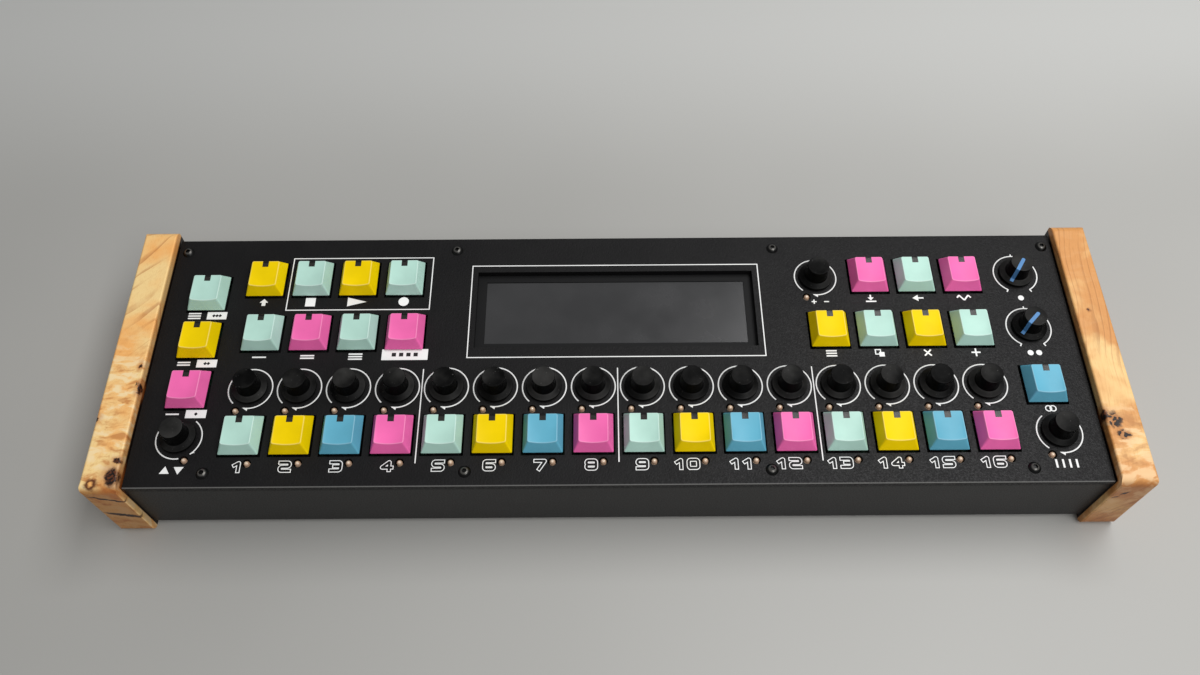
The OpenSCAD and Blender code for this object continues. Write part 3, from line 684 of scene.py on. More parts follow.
# Where the points along a straight side lie, close to its ends to keep the flats flat
SIDE_STOPS = (0.05, 0.2, 0.35, 0.5, 0.65, 0.8, 0.95)
CORNER_STEPS = 6
EDGE_STEPS = 5
# How much of each ring of the soft edge carries the painted highlight, and the rings of the top from its edge
# inwards
EDGE_SHARES = (0.4, 1.0, 1.0, 1.0, 1.0, 0.4)
TOP_SHARES = (0.96, 0.8, 0.6, 0.4, 0.2)
print(f"cap {2*CAP_RIM_HALF.x:.1f} mm wide, {CAP_HIGH:.1f} mm high over its rim")


# %% Outline of a cap
def dish_height(x, y):
    """Height of the hollow top over the rim. The hollow is deepest at the front edge."""
    x = max(-CAP_TOP_HALF.x, min(CAP_TOP_HALF.x, x))
    share = (y + CAP_TOP_HALF.y)/(2*CAP_TOP_HALF.y)
    depth = CAP_DISH + (CAP_DISH_BACK - CAP_DISH)*max(0.0, min(1.0, share))
    return CAP_HIGH - depth*(1 - (x/CAP_TOP_HALF.x)**2)


def rounded_ring(half, radius):
    """Points and outward directions round a rectangle with round corners."""
    arcs = []
    for side_x, side_y, start in ((1, -1, -90), (1, 1, 0), (-1, 1, 90), (-1, -1, 180)):
        centre = Vector((side_x*(half.x - radius), side_y*(half.y - radius)))
        arcs.append([(centre + radius*out, out) for out in sweep(start, start + 90, CORNER_STEPS)])
    points = []
    for arc, following in zip(arcs, arcs[1:] + arcs[:1]):
        here = arc[-1][0]
        there, out = following[0]
        points += arc + [(here.lerp(there, stop), out) for stop in SIDE_STOPS]
    return points


def wall_ring(z, inset=0.0):
    """The cap's outline at a height over the rim, before its edge is softened."""
    share = z/CAP_HIGH
    half = CAP_RIM_HALF.lerp(CAP_TOP_HALF, share) - Vector((inset, inset))
    radius = CAP_CORNER[0] + share*(CAP_CORNER[1] - CAP_CORNER[0]) - inset
    return rounded_ring(half, max(radius, INNER_CORNER))


# %% Rings of a cap
def edge_arc():
    """Steps of the soft edge: how far out from the sharp edge, and how far under it."""
    lean = math.degrees(WALL_LEAN)
    reach = CAP_EDGE*math.tan(math.radians((90 - lean)/2))
    return [(CAP_EDGE*out.x - reach, CAP_EDGE*(1 - out.y)) for out in sweep(lean, 90, EDGE_STEPS)]


def cap_rings():
    """Rings from inside the shell, round the rim, up the walls and over the edge to the hollow top."""
    rings = [[(*point/2, CAP_CEILING) for point, out in wall_ring(CAP_CEILING, CAP_WALL)]]
    for z, inset in ((CAP_CEILING, CAP_WALL), (0, CAP_WALL), (0, RIM_BEVEL), (RIM_BEVEL, 0), (WALL_FOOT, 0)):
        rings.append([(*point, z) for point, out in wall_ring(z, inset)])
    sharp = []
    for k, (point, out) in enumerate(wall_ring(CAP_HIGH)):
        z = dish_height(*point)
        sharp.append((wall_ring(z)[k][0], out, z))
    arc = edge_arc()
    under = arc[0][1] + WALL_HEAD
    for outward, down in [(under*math.tan(WALL_LEAN), under)] + arc:
        rings.append([(*(point + out*outward), z - down) for point, out, z in sharp])
    inner = [point + out*arc[-1][0] for point, out, z in sharp]
    for share in TOP_SHARES:
        rings.append([(*point*share, dish_height(*point*share)) for point in inner])
    return rings


CAP_RINGS = cap_rings()
print("rings of a cap:", len(CAP_RINGS), "with", len(CAP_RINGS[0]), "points each")


# %% One cap
def add_cap(bm, place, edge_layer):
    """One cap with its post, at a place on the panel. The soft edge is marked in a layer."""
    base = Vector((place.x, place.y + CAP_BACK, CAP_RIM_Z))
    rings = [[base + Vector(point) for point in ring] for ring in CAP_RINGS]
    tips = [base + Vector((0, 0, z)) for z in (CAP_CEILING, dish_height(0, 0))]
    rows = add_rings(bm, rings, tips)
    top_count = len(TOP_SHARES)
    for row, share in zip(rows[-top_count - len(EDGE_SHARES):-top_count], EDGE_SHARES):
        for vert in row:
            vert[edge_layer] = share
    post_top = CAP_RIM_Z + CAP_CEILING + POST_OVERLAP
    post = [(0, POST_LOW), (POST_RADIUS - POST_BEVEL, POST_LOW), (POST_RADIUS, POST_LOW + POST_BEVEL),
            (POST_RADIUS, post_top), (0, post_top)]
    add_turned(bm, post, place, sides=24)


# %% [markdown]
# A smoked window lies in each cap's back edge. It is a narrow strip that follows the hollow top and
# bends over the soft edge, so it is lofted along the same curves, a hair over the cap.

# %% Window strip
WINDOW_HALF = 1.45
WINDOW_LONG = 3.2
WINDOW_STEP = 0.55
WINDOW_DROPS = (1.0, 1.6)
WINDOW_PROUD = 0.03
# The underside lies lower and a little forward
WINDOW_SINK = 0.25
WINDOW_FORWARD = 0.1
# The row at which the window is fully dark
WINDOW_DARK_ROW = 8
WINDOW_ACROSS = [WINDOW_HALF*(k/3 - 1) for k in range(7)]


def window_path(x):
    """Points from the window's front end, over the edge and down the back wall."""
    top = dish_height(x, CAP_TOP_HALF.y)
    back = CAP_TOP_HALF.y + (CAP_HIGH - top)*math.tan(BACK_LEAN)
    stops = [back - WINDOW_LONG + WINDOW_STEP*k for k in range(6)]
    path = [(y, dish_height(x, y) + WINDOW_PROUD) for y in stops]
    for outward, down in reversed(edge_arc()):
        path.append((back + outward + WINDOW_PROUD/2, top - down + WINDOW_PROUD/2))
    return path + [(back + down*math.tan(BACK_LEAN) + WINDOW_PROUD, top - down) for down in WINDOW_DROPS]


def add_window(bm, place, share_layer):
    rings = []
    for spots in zip(*[window_path(x) for x in WINDOW_ACROSS]):
        upper = [(place.x + x, place.y + CAP_BACK + y, CAP_RIM_Z + z)
                 for x, (y, z) in zip(WINDOW_ACROSS, spots)]
        lower = [(x, y - WINDOW_FORWARD, z - WINDOW_SINK) for x, y, z in reversed(upper)]
        rings.append(upper + lower)
    rows = add_rings(bm, rings)
    close_ends(bm, rows)
    for n, row in enumerate(rows):
        for vert in row:
            vert[share_layer] = min(1.0, n/WINDOW_DARK_ROW)


# %% Make every key
SINGLE_KEYS = {
    "side_key_1": "pink", "side_key_2": "yellow", "side_key_3": "mint",
    "shift_key": "yellow", "stop_key": "mint", "play_key": "yellow", "record_key": "mint",
    "mode_key_1": "mint", "mode_key_2": "pink", "mode_key_3": "mint", "mode_key_4": "pink",
    "edit_key_1": "yellow", "edit_key_2": "mint", "edit_key_3": "yellow", "edit_key_4": "mint",
    "store_key_1": "pink", "store_key_2": "mint", "store_key_3": "pink", "link_key": "blue",
}
KEY_AT = {name: middle(name).to_2d() - Vector((0, CAP_BACK)) for name in SINGLE_KEYS}


def make_key(body, colour, places):
    bm = bmesh.new()
    edge_layer = bm.verts.layers.float.new("soft_edge")
    for place in places:
        add_cap(bm, place, edge_layer)
    cap = make_piece(body + "_cap", bm, KEY_PLASTIC[colour], body)
    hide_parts(body)
    bm = bmesh.new()
    share_layer = bm.verts.layers.float.new("toward_back")
    for place in places:
        add_window(bm, place, share_layer)
    window = make_piece(body + "_window", bm, SMOKED, body, smooth=False)


for body, colour in SINGLE_KEYS.items():
    make_key(body, colour, [KEY_AT[body]])
for n, colour in enumerate(KEY_TONES):
    make_key("step_keys_" + colour, colour, [Vector((x, STEP_ROW)) for x in COLUMNS[n::4]])
print("keys:", len(SINGLE_KEYS) + len(KEY_TONES))

# %% [markdown]
# ## Knobs
# A knob is turned: a low skirt whose top slopes up, a slim barrel that tapers a little, and a flat
# top with a soft rim. Its shaft goes down into the bushing. One profile serves them all. The value
# knob is bored, because its shaft is a piece of its own.

# %% Sizes and profile of a knob, in millimetres
KNOB_LOW = low_corner("value_knob").z
KNOB_TOP = high_corner("value_knob").z
SKIRT_RADIUS = (high_corner("value_knob").x - low_corner("value_knob").x)/2
SKIRT_BEVEL = 0.25
SKIRT_EDGE = 0.95
SKIRT_SOFT = 0.3
SKIRT_HIGH = 2.0
SLOPE_STEPS = 4
FOOT_BEND = 0.35
BARREL_FOOT = 5.5
BARREL_TOP = 5.2
BARREL_TAPER = 0.02
# The barrel's last ring is this much wider than its top, and lies this far under the soft rim
HEAD_WIDER, HEAD_UNDER = 0.01, 0.3
RIM_SOFT = 0.28
# How far inside the soft rim the flat rim ends and the sunk top begins, and a ring on the top
RIM_FLAT, RIM_STEP = 0.25, 0.4
TOP_RING = 2.0
TOP_SUNK = 0.06
SHAFT_RADIUS = 3.0
SHAFT_BEVEL = 0.2
SHAFT_LOW = low_corner("step_knob_1").z
BORE_RADIUS = 3.05
BORE_DEEP = 6.0
BORE_TOP = KNOB_LOW + BORE_DEEP


def knob_outside():
    """From the skirt's underside, out and up to the middle of the top."""
    profile = [(SKIRT_RADIUS - SKIRT_BEVEL, KNOB_LOW), (SKIRT_RADIUS, KNOB_LOW + SKIRT_BEVEL)]
    edge = KNOB_LOW + SKIRT_EDGE
    for out in sweep(0, 90, 3):
        profile.append((SKIRT_RADIUS - SKIRT_SOFT*(1 - out.x), edge - SKIRT_SOFT*(1 - out.y)))
    slope_from = Vector((SKIRT_RADIUS - SKIRT_SOFT, edge))
    slope_to = Vector((BARREL_FOOT + FOOT_BEND, KNOB_LOW + SKIRT_HIGH))
    profile += [tuple(slope_from.lerp(slope_to, k/SLOPE_STEPS)) for k in range(1, SLOPE_STEPS + 1)]
    for k, out in enumerate(sweep(0, 90, SLOPE_STEPS)[1:], 1):
        bend = FOOT_BEND*(1 - out.y) - BARREL_TAPER*k
        profile.append((BARREL_FOOT + bend, slope_to.y + FOOT_BEND*(1 - out.x)))
    profile.append((BARREL_TOP + HEAD_WIDER, KNOB_TOP - RIM_SOFT - HEAD_UNDER))
    for out in sweep(0, 90, 5):
        profile.append((BARREL_TOP - RIM_SOFT*(1 - out.x), KNOB_TOP - RIM_SOFT*(1 - out.y)))
    inner = BARREL_TOP - RIM_SOFT
    profile.append((inner - RIM_FLAT, KNOB_TOP))
    return profile + [(radius, KNOB_TOP - TOP_SUNK) for radius in (inner - RIM_STEP, TOP_RING, 0.0)]


KNOB_OUTSIDE = knob_outside()
SHAFT_PROFILE = [(0, SHAFT_LOW), (SHAFT_RADIUS - SHAFT_BEVEL, SHAFT_LOW),
                 (SHAFT_RADIUS, SHAFT_LOW + SHAFT_BEVEL), (SHAFT_RADIUS, KNOB_LOW)]
BORE_PROFILE = [(0, BORE_TOP), (BORE_RADIUS, BORE_TOP), (BORE_RADIUS, KNOB_LOW)]
print("points of the knob's outside:", len(KNOB_OUTSIDE))


# %% Make every knob
def make_knob(body, start):
    bm = bmesh.new()
    add_turned(bm, start + KNOB_OUTSIDE, KNOB_AT[body])
    knob = make_piece(body + "_turned", bm, KNOB_RUBBER, body)
    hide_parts(body)


for body in KNOB_AT:
    make_knob(body, BORE_PROFILE if body == "value_knob" else SHAFT_PROFILE)
print("knobs:", len(KNOB_AT))

# %% [markdown]
# The two pots have a painted pointer: a stripe from just behind the middle of the top, over the rim
# and down the barrel to the skirt. It follows the knob's own profile, so it stays on the knob from
# every side.

# %% Pointer stripes
POINTER_ANGLES = {"pot_knob_a": -123, "pot_knob_b": -134}
POINTER_HALF = 0.85
POINTER_PROUD = 0.05
POINTER_SUNK = -0.1
POINTER_BACK = -2.6
POINTER_REACH = 7.0
# Angles round the pointer's round back end
POINTER_END = (10, 40, 65, 90)


def make_pointer(body, angle):
    out = heading(angle)
    across = Vector((-out.y, out.x))
    outline = KNOB_OUTSIDE[::-1]
    end = [heading(turn) for turn in POINTER_END]
    path = [(POINTER_BACK + POINTER_HALF*(1 - step.x), outline[0][1]) for step in end]
    path += [point for point in outline[1:] if point[0] < POINTER_REACH]
    halves = [POINTER_HALF*step.y for step in end]
    halves += [POINTER_HALF]*(len(path) - len(halves))
    rings = []
    for n, (radius, z) in enumerate(path):
        along = Vector(path[min(n + 1, len(path) - 1)]) - Vector(path[max(n - 1, 0)])
        normal = Vector((-along.y, along.x)).normalized()
        ring = []
        for side, lift in ((-1, POINTER_SUNK), (-1, POINTER_PROUD), (1, POINTER_PROUD), (1, POINTER_SUNK)):
            flat = KNOB_AT[body] + out*(radius + normal.x*lift) + across*side*halves[n]
            ring.append((*flat, z + normal.y*lift))
        rings.append(ring)
    bm = bmesh.new()
    close_ends(bm, add_rings(bm, rings))
    stripe = make_piece(body + "_pointer", bm, POINTER_PAINT, body, smooth=False)


for body, angle in POINTER_ANGLES.items():
    make_pointer(body, angle)
print("pointers:", len(POINTER_ANGLES))

# %% [markdown]
# ## Repeated pieces with Geometry Nodes
# Lamps, printed arcs and numerals repeat, so a node tree makes them. A helper runs a tree on a host
# object, keeps the result as a plain mesh and takes the modifier off again.


# %% Helper for geometry trees
class Shapes(Group):
    """A geometry tree whose inputs are named sizes and a material."""

    def __init__(self, name, *sizes):
        inputs = {"Geometry": "Geometry", **dict.fromkeys(sizes, "Float"), "Material": "Material"}
        super().__init__(name, inputs, {"Geometry": "Geometry"}, "GeometryNodeTree")

    def on_points(self, instance):
        inputs = {"Points": self.given("Geometry"), "Instance": instance}
        return self.add("GeometryNodeInstanceOnPoints", inputs).outputs[0]

    def ribbon(self, curve):
        """A flat stroke along a curve, as wide and as thick as the tree's inputs say."""
        upright = self.add("GeometryNodeSetCurveNormal", {0: curve}, mode="Z_UP").outputs[0]
        sizes = {"Width": self.given("Line"), "Height": self.given("Thick")}
        stroke = self.add("GeometryNodeCurvePrimitiveQuadrilateral", sizes, mode="RECTANGLE").outputs[0]
        inputs = {"Curve": upright, "Profile Curve": stroke, "Fill Caps": True}
        return self.add("GeometryNodeCurveToMesh", inputs).outputs[0]

    def joined(self, mesh):
        """What crosses, joined to one solid with flat faces."""
        inputs = {"Self Intersection": True, "Mesh": mesh}
        whole = self.add("GeometryNodeMeshBoolean", inputs, operation="UNION", solver="EXACT").outputs[0]
        return self.add("GeometryNodeSetShadeSmooth", {0: whole, 2: False}).outputs[0]

    def finish(self, geometry):
        """Instances become real, and the material goes on last."""
        real = self.add("GeometryNodeRealizeInstances", {0: geometry}).outputs[0]
        inputs = {"Geometry": real, "Material": self.given("Material")}
        self.feed(self.end, {0: self.add("GeometryNodeSetMaterial", inputs).outputs[0]})

    def make(self, name, values, points, edges=(), faces=(), bends=()):
        """A piece of the case that the tree makes from these values and points, edges and faces."""
        seed = bpy.data.meshes.new("seed")
        seed.from_pydata([tuple(value*MM for value in point) for point in points], edges, faces)
        if bends:
            seed.attributes.new("bend", "FLOAT", "POINT").data.foreach_set("value", bends)
        host = bpy.data.objects.new("host", seed)
        scene.collection.objects.link(host)
        modifier = host.modifiers.new("tree", "NODES")
        modifier.node_group = self.tree
        for label, value in values.items():
            modifier[self.names[label]] = value
        graph = bpy.context.evaluated_depsgraph_get()
        mesh = bpy.data.meshes.new_from_object(host.evaluated_get(graph))
        host.modifiers.remove(modifier)
        bpy.data.objects.remove(host)
        print(name, "faces:", len(mesh.polygons))
        return keep_mesh(name, mesh, "case")


# %% [markdown]
# A lamp is a small rod with a domed lens, whose tip stands a little over the panel. The tree puts one at
# every lamp place and stores how far each point lies from the lamp's own axis, which the lens material
# reads.

# %% Places of the lamps
LAMP_RADIUS = 1.3
LAMP_LOW = low_corner("indicator_lamps").z
LAMP_TIP = high_corner("indicator_lamps").z
KNOB_LAMP = Vector((-5.3, -11.2))
LEFT_LAMP = Vector((4.4, -11.2))
STEP_LAMP = Vector((4.35, -12.95))
ENCODERS = STEP_KNOBS + ["value_knob"]
LAMP_AT = [KNOB_AT[name] + KNOB_LAMP for name in ENCODERS + ["right_knob"]]
LAMP_AT += [Vector((x, STEP_ROW)) + STEP_LAMP for x in COLUMNS]
LAMP_AT.append(KNOB_AT["left_knob"] + LEFT_LAMP)
print("lamps:", len(LAMP_AT))


# %% Tree: lamps on points
def lamp_tree():
    tree = Shapes("lamps_on_points", "Radius", "Length")
    radius = tree.given("Radius")
    straight = tree.minus(tree.given("Length"), radius)
    rod = tree.add("GeometryNodeMeshCylinder", {"Vertices": 24, "Radius": radius, "Depth": straight})
    dome = tree.add("GeometryNodeMeshUVSphere", {"Segments": 24, "Rings": 14, "Radius": radius})
    whole = tree.add("GeometryNodeJoinGeometry")
    for shape, height in ((rod, tree.times(straight, 0.5)), (dome, straight)):
        lift = tree.add("ShaderNodeCombineXYZ", {"Z": height}).outputs[0]
        inputs = {"Geometry": shape.outputs["Mesh"], "Translation": lift}
        tree.feed(whole, {0: tree.add("GeometryNodeTransform", inputs).outputs[0]})
    place = tree.add("GeometryNodeInputPosition").outputs[0]
    away = tree.vector("LENGTH", tree.vector("MULTIPLY", place, (1.0, 1.0, 0.0)))
    inputs = {"Geometry": whole.outputs[0], "Name": "from_axis", "Value": tree.chain("DIVIDE", away, radius)}
    stored = tree.add("GeometryNodeStoreNamedAttribute", inputs, data_type="FLOAT", domain="POINT")
    smooth = tree.add("GeometryNodeSetShadeSmooth", {0: stored.outputs[0]})
    tree.finish(tree.on_points(smooth.outputs[0]))
    return tree


# %% Make the lamps
lamp_points = [(place.x, place.y, LAMP_LOW) for place in LAMP_AT]
lamp_values = {"Radius": LAMP_RADIUS*MM, "Length": (LAMP_TIP - LAMP_LOW)*MM, "Material": LENS}
lamps = lamp_tree().make("lamp_lenses", lamp_values, lamp_points)
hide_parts("indicator_lamps")

# %% [markdown]
# ## Printed arcs
# Each knob stands in a printed arc that shows which way it turns. A tree bends one flat stroke round
# an arc and repeats it on points, so a whole row of arcs is one run.

# %% Sizes of the print
# The ink goes a little into the panel, so that its underside can't show
INK_SINK, INK_RISE = 0.01, 0.03
INK_LOW = PANEL_TOP - INK_SINK
INK_HIGH = PANEL_TOP + INK_RISE
INK_MIDDLE = (INK_LOW + INK_HIGH)/2
INK_THICK = INK_HIGH - INK_LOW
# The arcs are a hair thicker than the arrow heads and ticks that touch them
ARC_EXTRA = 0.006
ARC_THICK = INK_THICK + ARC_EXTRA
ARC_LINE = 0.6
ARC_RADIUS = 10.07
LEFT_ARC_RADIUS = 10.2
POT_ARC_RADIUS = 10.45
print(f"ink from {INK_LOW:.2f} to {INK_HIGH:.2f} mm")


# %% Tree: arcs on points
def arc_tree():
    tree = Shapes("arcs_on_points", "Radius", "Start", "Sweep", "Line", "Thick")
    inputs = {"Resolution": 72, "Radius": tree.given("Radius"), "Start Angle": tree.given("Start"),
              "Sweep Angle": tree.given("Sweep")}
    arc = tree.add("GeometryNodeCurveArc", inputs, mode="RADIUS")
    tree.finish(tree.on_points(tree.ribbon(arc.outputs[0])))
    return tree


ARCS = arc_tree()


def make_arcs(name, centres, radius, start, turn):
    values = {"Radius": radius*MM, "Start": math.radians(start), "Sweep": math.radians(turn),
              "Line": ARC_LINE*MM, "Thick": ARC_THICK*MM, "Material": PRINT_INK}
    piece = ARCS.make(name, values, [(c.x, c.y, INK_MIDDLE) for c in centres])


# %% Arcs round every knob
make_arcs("encoder_arcs", [KNOB_AT[name] for name in ENCODERS], ARC_RADIUS, -100, 328)
# The arcs of the two end knobs are open at the back, where a sign stands
END_SHIFT = Vector((0.2, -0.35))
LEFT_MIDDLE = KNOB_AT["left_knob"] + END_SHIFT
RIGHT_MIDDLE = KNOB_AT["right_knob"] + END_SHIFT
make_arcs("left_arc_near", [LEFT_MIDDLE], LEFT_ARC_RADIUS, -51, 104)
make_arcs("left_arc_far", [LEFT_MIDDLE], LEFT_ARC_RADIUS, 127, 153)
make_arcs("right_arc_near", [RIGHT_MIDDLE], ARC_RADIUS, -100, 153)
make_arcs("right_arc_far", [RIGHT_MIDDLE], ARC_RADIUS, 127, 104)
make_arcs("pot_arcs", [KNOB_AT[name] for name in POINTER_ANGLES], POT_ARC_RADIUS, -60, 300)

# %% [markdown]
# ## Outlined numerals
# The steps carry wide outlined numbers. Each digit is written as strokes on a small grid, and a tree
# gives the strokes round bends and a flat ribbon of ink. It runs twice: a wide white ribbon, and over
# it a narrower one in the panel's own finish, which stops short of the ends and leaves an outline.
# Where strokes cross, the tree joins the ribbons to one solid, so that no two faces lie on each other.

# %% Strokes of the digits, on a grid one wide and two high
DIGIT_STROKES = {
    "0": [[(0.5, 0), (0, 0), (0, 2), (1, 2), (1, 0), (0.2, 0)]],
    "1": [[(0.1, 1.4), (0.55, 2), (0.55, 0)]],
    "2": [[(0, 2), (1, 2), (1, 1), (0, 1), (0, 0), (1, 0)]],
    "3": [[(0, 2), (1, 2), (1, 0), (0, 0)], [(0.35, 1), (0.9, 1)]],
    "4": [[(0.8, 0), (0.8, 2), (0, 0.6), (1.05, 0.6)]],
    "5": [[(1, 2), (0, 2), (0, 1), (1, 1), (1, 0), (0, 0)]],
    "6": [[(1, 2), (0, 2), (0, 0), (1, 0), (1, 1), (0.1, 1)]],
    "7": [[(0, 2), (1, 2), (0.4, 0)]],
    "8": [[(0.3, 1), (0, 1), (0, 2), (1, 2), (1, 0), (0, 0), (0, 1), (0.9, 1)]],
    "9": [[(0, 0), (1, 0), (1, 2), (0, 2), (0, 1), (0.9, 1)]],
}
SHARP_DIGITS = "147"
DIGIT_WIDE = 4.15
DIGIT_HALF_HIGH = 1.95
DIGIT_GAP = 1.5
OUTER_RIBBON = 1.85
INNER_RIBBON = 1.12
BORDER = (OUTER_RIBBON - INNER_RIBBON)/2
ROUND_BEND = 0.9
SHARP_BEND = 0.12
# The narrow ribbon's middle height over the ink, and its thickness
INNER_LIFT, INNER_THICK = 0.005, 0.03
NUMBER_RIGHT = 2.0
NUMBER_DROP = 14.6


def squared(points):
    """The stroke with both ends drawn out by half a ribbon, so that they end square."""
    first = points[0] + (points[0] - points[1]).normalized()*OUTER_RIBBON/2
    last = points[-1] + (points[-1] - points[-2]).normalized()*OUTER_RIBBON/2
    return [first] + points[1:-1] + [last]


def number_strokes(text):
    """Every stroke of a number and its bend, with the right end at zero and the middle height at zero."""
    strokes = []
    left = 0.0
    for digit in text:
        bend = SHARP_BEND if digit in SHARP_DIGITS else ROUND_BEND
        for stroke in DIGIT_STROKES[digit]:
            points = [Vector((left + x*DIGIT_WIDE, (y - 1)*DIGIT_HALF_HIGH)) for x, y in stroke]
            strokes.append((bend, squared(points)))
        wide = max(x for stroke in DIGIT_STROKES[digit] for x, y in stroke)
        left += wide*DIGIT_WIDE + OUTER_RIBBON + DIGIT_GAP
    right = left - OUTER_RIBBON/2 - DIGIT_GAP
    return [(bend, [(x - right, y) for x, y in stroke]) for bend, stroke in strokes]


# %% Tree: ribbons along strokes
def ribbon_tree():
    tree = Shapes("ribbons_along_strokes", "Line", "Thick", "Short")
    curves = tree.add("GeometryNodeMeshToCurve", {0: tree.given("Geometry")}).outputs[0]
    bend = tree.add("GeometryNodeInputNamedAttribute", {"Name": "bend"}, data_type="FLOAT").outputs[0]
    inputs = {"Curve": curves, "Count": 5, "Limit Radius": True, "Radius": bend}
    bent = tree.add("GeometryNodeFilletCurve", inputs, mode="POLY").outputs[0]
    short = tree.given("Short")
    stop = tree.minus(tree.add("GeometryNodeSplineLength").outputs["Length"], short)
    cut = tree.add("GeometryNodeTrimCurve", {0: bent, 4: short, 5: stop}, mode="LENGTH").outputs[0]
    tree.finish(tree.joined(tree.ribbon(cut)))
    return tree


RIBBONS = ribbon_tree()


# %% Make the numerals
def make_numbers(name, line, short, z, thick, material):
    points, edges, bends = [], [], []
    for number, column in enumerate(COLUMNS, 1):
        spot = Vector((column + NUMBER_RIGHT, STEP_ROW - NUMBER_DROP))
        for bend, stroke in number_strokes(str(number)):
            first = len(points)
            points += [(spot.x + x, spot.y + y, z) for x, y in stroke]
            edges += [(k, k + 1) for k in range(first, len(points) - 1)]
            bends += [bend*MM]*len(stroke)
    values = {"Line": line*MM, "Thick": thick*MM, "Short": short*MM, "Material": material}
    piece = RIBBONS.make(name, values, points, edges, bends=bends)


make_numbers("number_outlines", OUTER_RIBBON, 0.0, INK_MIDDLE, INK_THICK, PRINT_INK)
make_numbers("number_middles", INNER_RIBBON, BORDER, INK_HIGH + INNER_LIFT, INNER_THICK, PANEL_PAINT)

# %% [markdown]
# ## Lines and signs
# The other marks are plain shapes: lines between the groups of four, frames round the display and the
# transport keys, and small signs under the keys. Each is a thin prism of ink. A class draws bars,
# boxes, rings and outlines from a spot on the panel, and every sign is put together from them. A last
# tree joins the shapes that cross to one solid, as it was done for the numerals.


# %% Tree: shapes joined to one solid
def join_tree():
    tree = Shapes("shapes_joined")
    tree.finish(tree.joined(tree.given("Geometry")))
    return tree


JOINED = join_tree()
STROKE = 0.75
BAR_GAP = 1.35


# %% Ink shapes
class Ink:
    """Thin plates of ink between two heights. Every shape is drawn from a spot on the panel."""

    def __init__(self, low=INK_LOW, high=INK_HIGH):
        self.bm = bmesh.new()
        self.heights = (low, high)

    def prism(self, outline):
        rows = add_rings(self.bm, [[(*point, z) for point in outline] for z in self.heights])
        for row in rows:
            self.bm.faces.new(row)

    def bar(self, spot, a, b, width=STROKE):
        """A straight stroke between two points."""
        a, b = spot + Vector(a), spot + Vector(b)
        side = (b - a).normalized().orthogonal()*width/2
        self.prism([a - side, b - side, b + side, a + side])

    def bars(self, spot, centre, count, wide):
        """Level strokes over each other."""
        for k in range(count):
            y = centre[1] + (k - (count - 1)/2)*BAR_GAP
            self.bar(spot, (centre[0] - wide/2, y), (centre[0] + wide/2, y))

    def box(self, spot, low, high):
        corners = ((low[0], low[1]), (high[0], low[1]), (high[0], high[1]), (low[0], high[1]))
        self.prism([spot + Vector(corner) for corner in corners])

    def frame(self, spot, low, high, width):
        """Four strokes round a box, measured on their middle line."""
        half = width/2
        for y in (low[1], high[1]):
            self.box(spot, (low[0] - half, y - half), (high[0] + half, y + half))
        for x in (low[0], high[0]):
            self.box(spot, (x - half, low[1]), (x + half, high[1]))

    def triangle(self, spot, tip, base, half):
        tip, base = spot + Vector(tip), spot + Vector(base)
        side = (tip - base).normalized().orthogonal()*half
        self.prism([base + side, tip, base - side])

    def disc(self, spot, centre, radius, sides=32):
        self.prism(circle(spot + Vector(centre), radius, sides))

    def ring(self, spot, centre, radius, width, sides=32):
        low, high = self.heights
        inside = circle(spot + Vector(centre), radius - width/2, sides)
        outside = circle(spot + Vector(centre), radius + width/2, sides)
        rings = [[(*inner, low), (*outer, low), (*outer, high), (*inner, high)]
                 for inner, outer in zip(inside, outside)]
        add_rings(self.bm, rings, loop=True)

    def keep(self, name, material):
        """The shapes as one piece of the case."""
        bmesh.ops.recalc_face_normals(self.bm, faces=self.bm.faces[:])
        self.bm.verts.index_update()
        points = [tuple(vert.co) for vert in self.bm.verts]
        faces = [[vert.index for vert in face.verts] for face in self.bm.faces]
        self.bm.free()
        return JOINED.make(name, {"Material": material}, points, faces=faces)


# %% Separators, frames and arrow heads
LINE = 0.5
MIDDLE = Vector((0, 0))
SEPARATOR_LOW, SEPARATOR_HIGH = STEP_ROW - 13.4, KNOB_ROW + 9.7
DISPLAY_LOW, DISPLAY_HIGH = (-69.9, -2.04), (69.9, 49.7)
TRANSPORT_LOW, TRANSPORT_HIGH = (-158.5, 24.8), (-89.6, 54.9)
# Tip, barb and heel of the arrow heads at the ends of the arcs
ARROW = [Vector(point) for point in ((-2.1, -9.75), (0.1, -11.4), (0.4, -9.85))]
LEFT_ARROW = [Vector(point) for point in ((6.4, -7.9), (8.5, -7.2), (7.5, -6.8))]

lines = Ink()
for n in (4, 8, 12):
    x = (COLUMNS[n - 1] + COLUMNS[n])/2
    lines.bar(MIDDLE, (x, SEPARATOR_LOW), (x, SEPARATOR_HIGH), LINE)
lines.frame(MIDDLE, DISPLAY_LOW, DISPLAY_HIGH, LINE)
lines.frame(MIDDLE, TRANSPORT_LOW, TRANSPORT_HIGH, LINE)
for spot in [KNOB_AT[name] for name in ENCODERS] + [RIGHT_MIDDLE]:
    lines.prism([spot + point for point in ARROW])
lines.prism([LEFT_MIDDLE + point for point in LEFT_ARROW])
lines.keep("printed_lines", PRINT_INK)

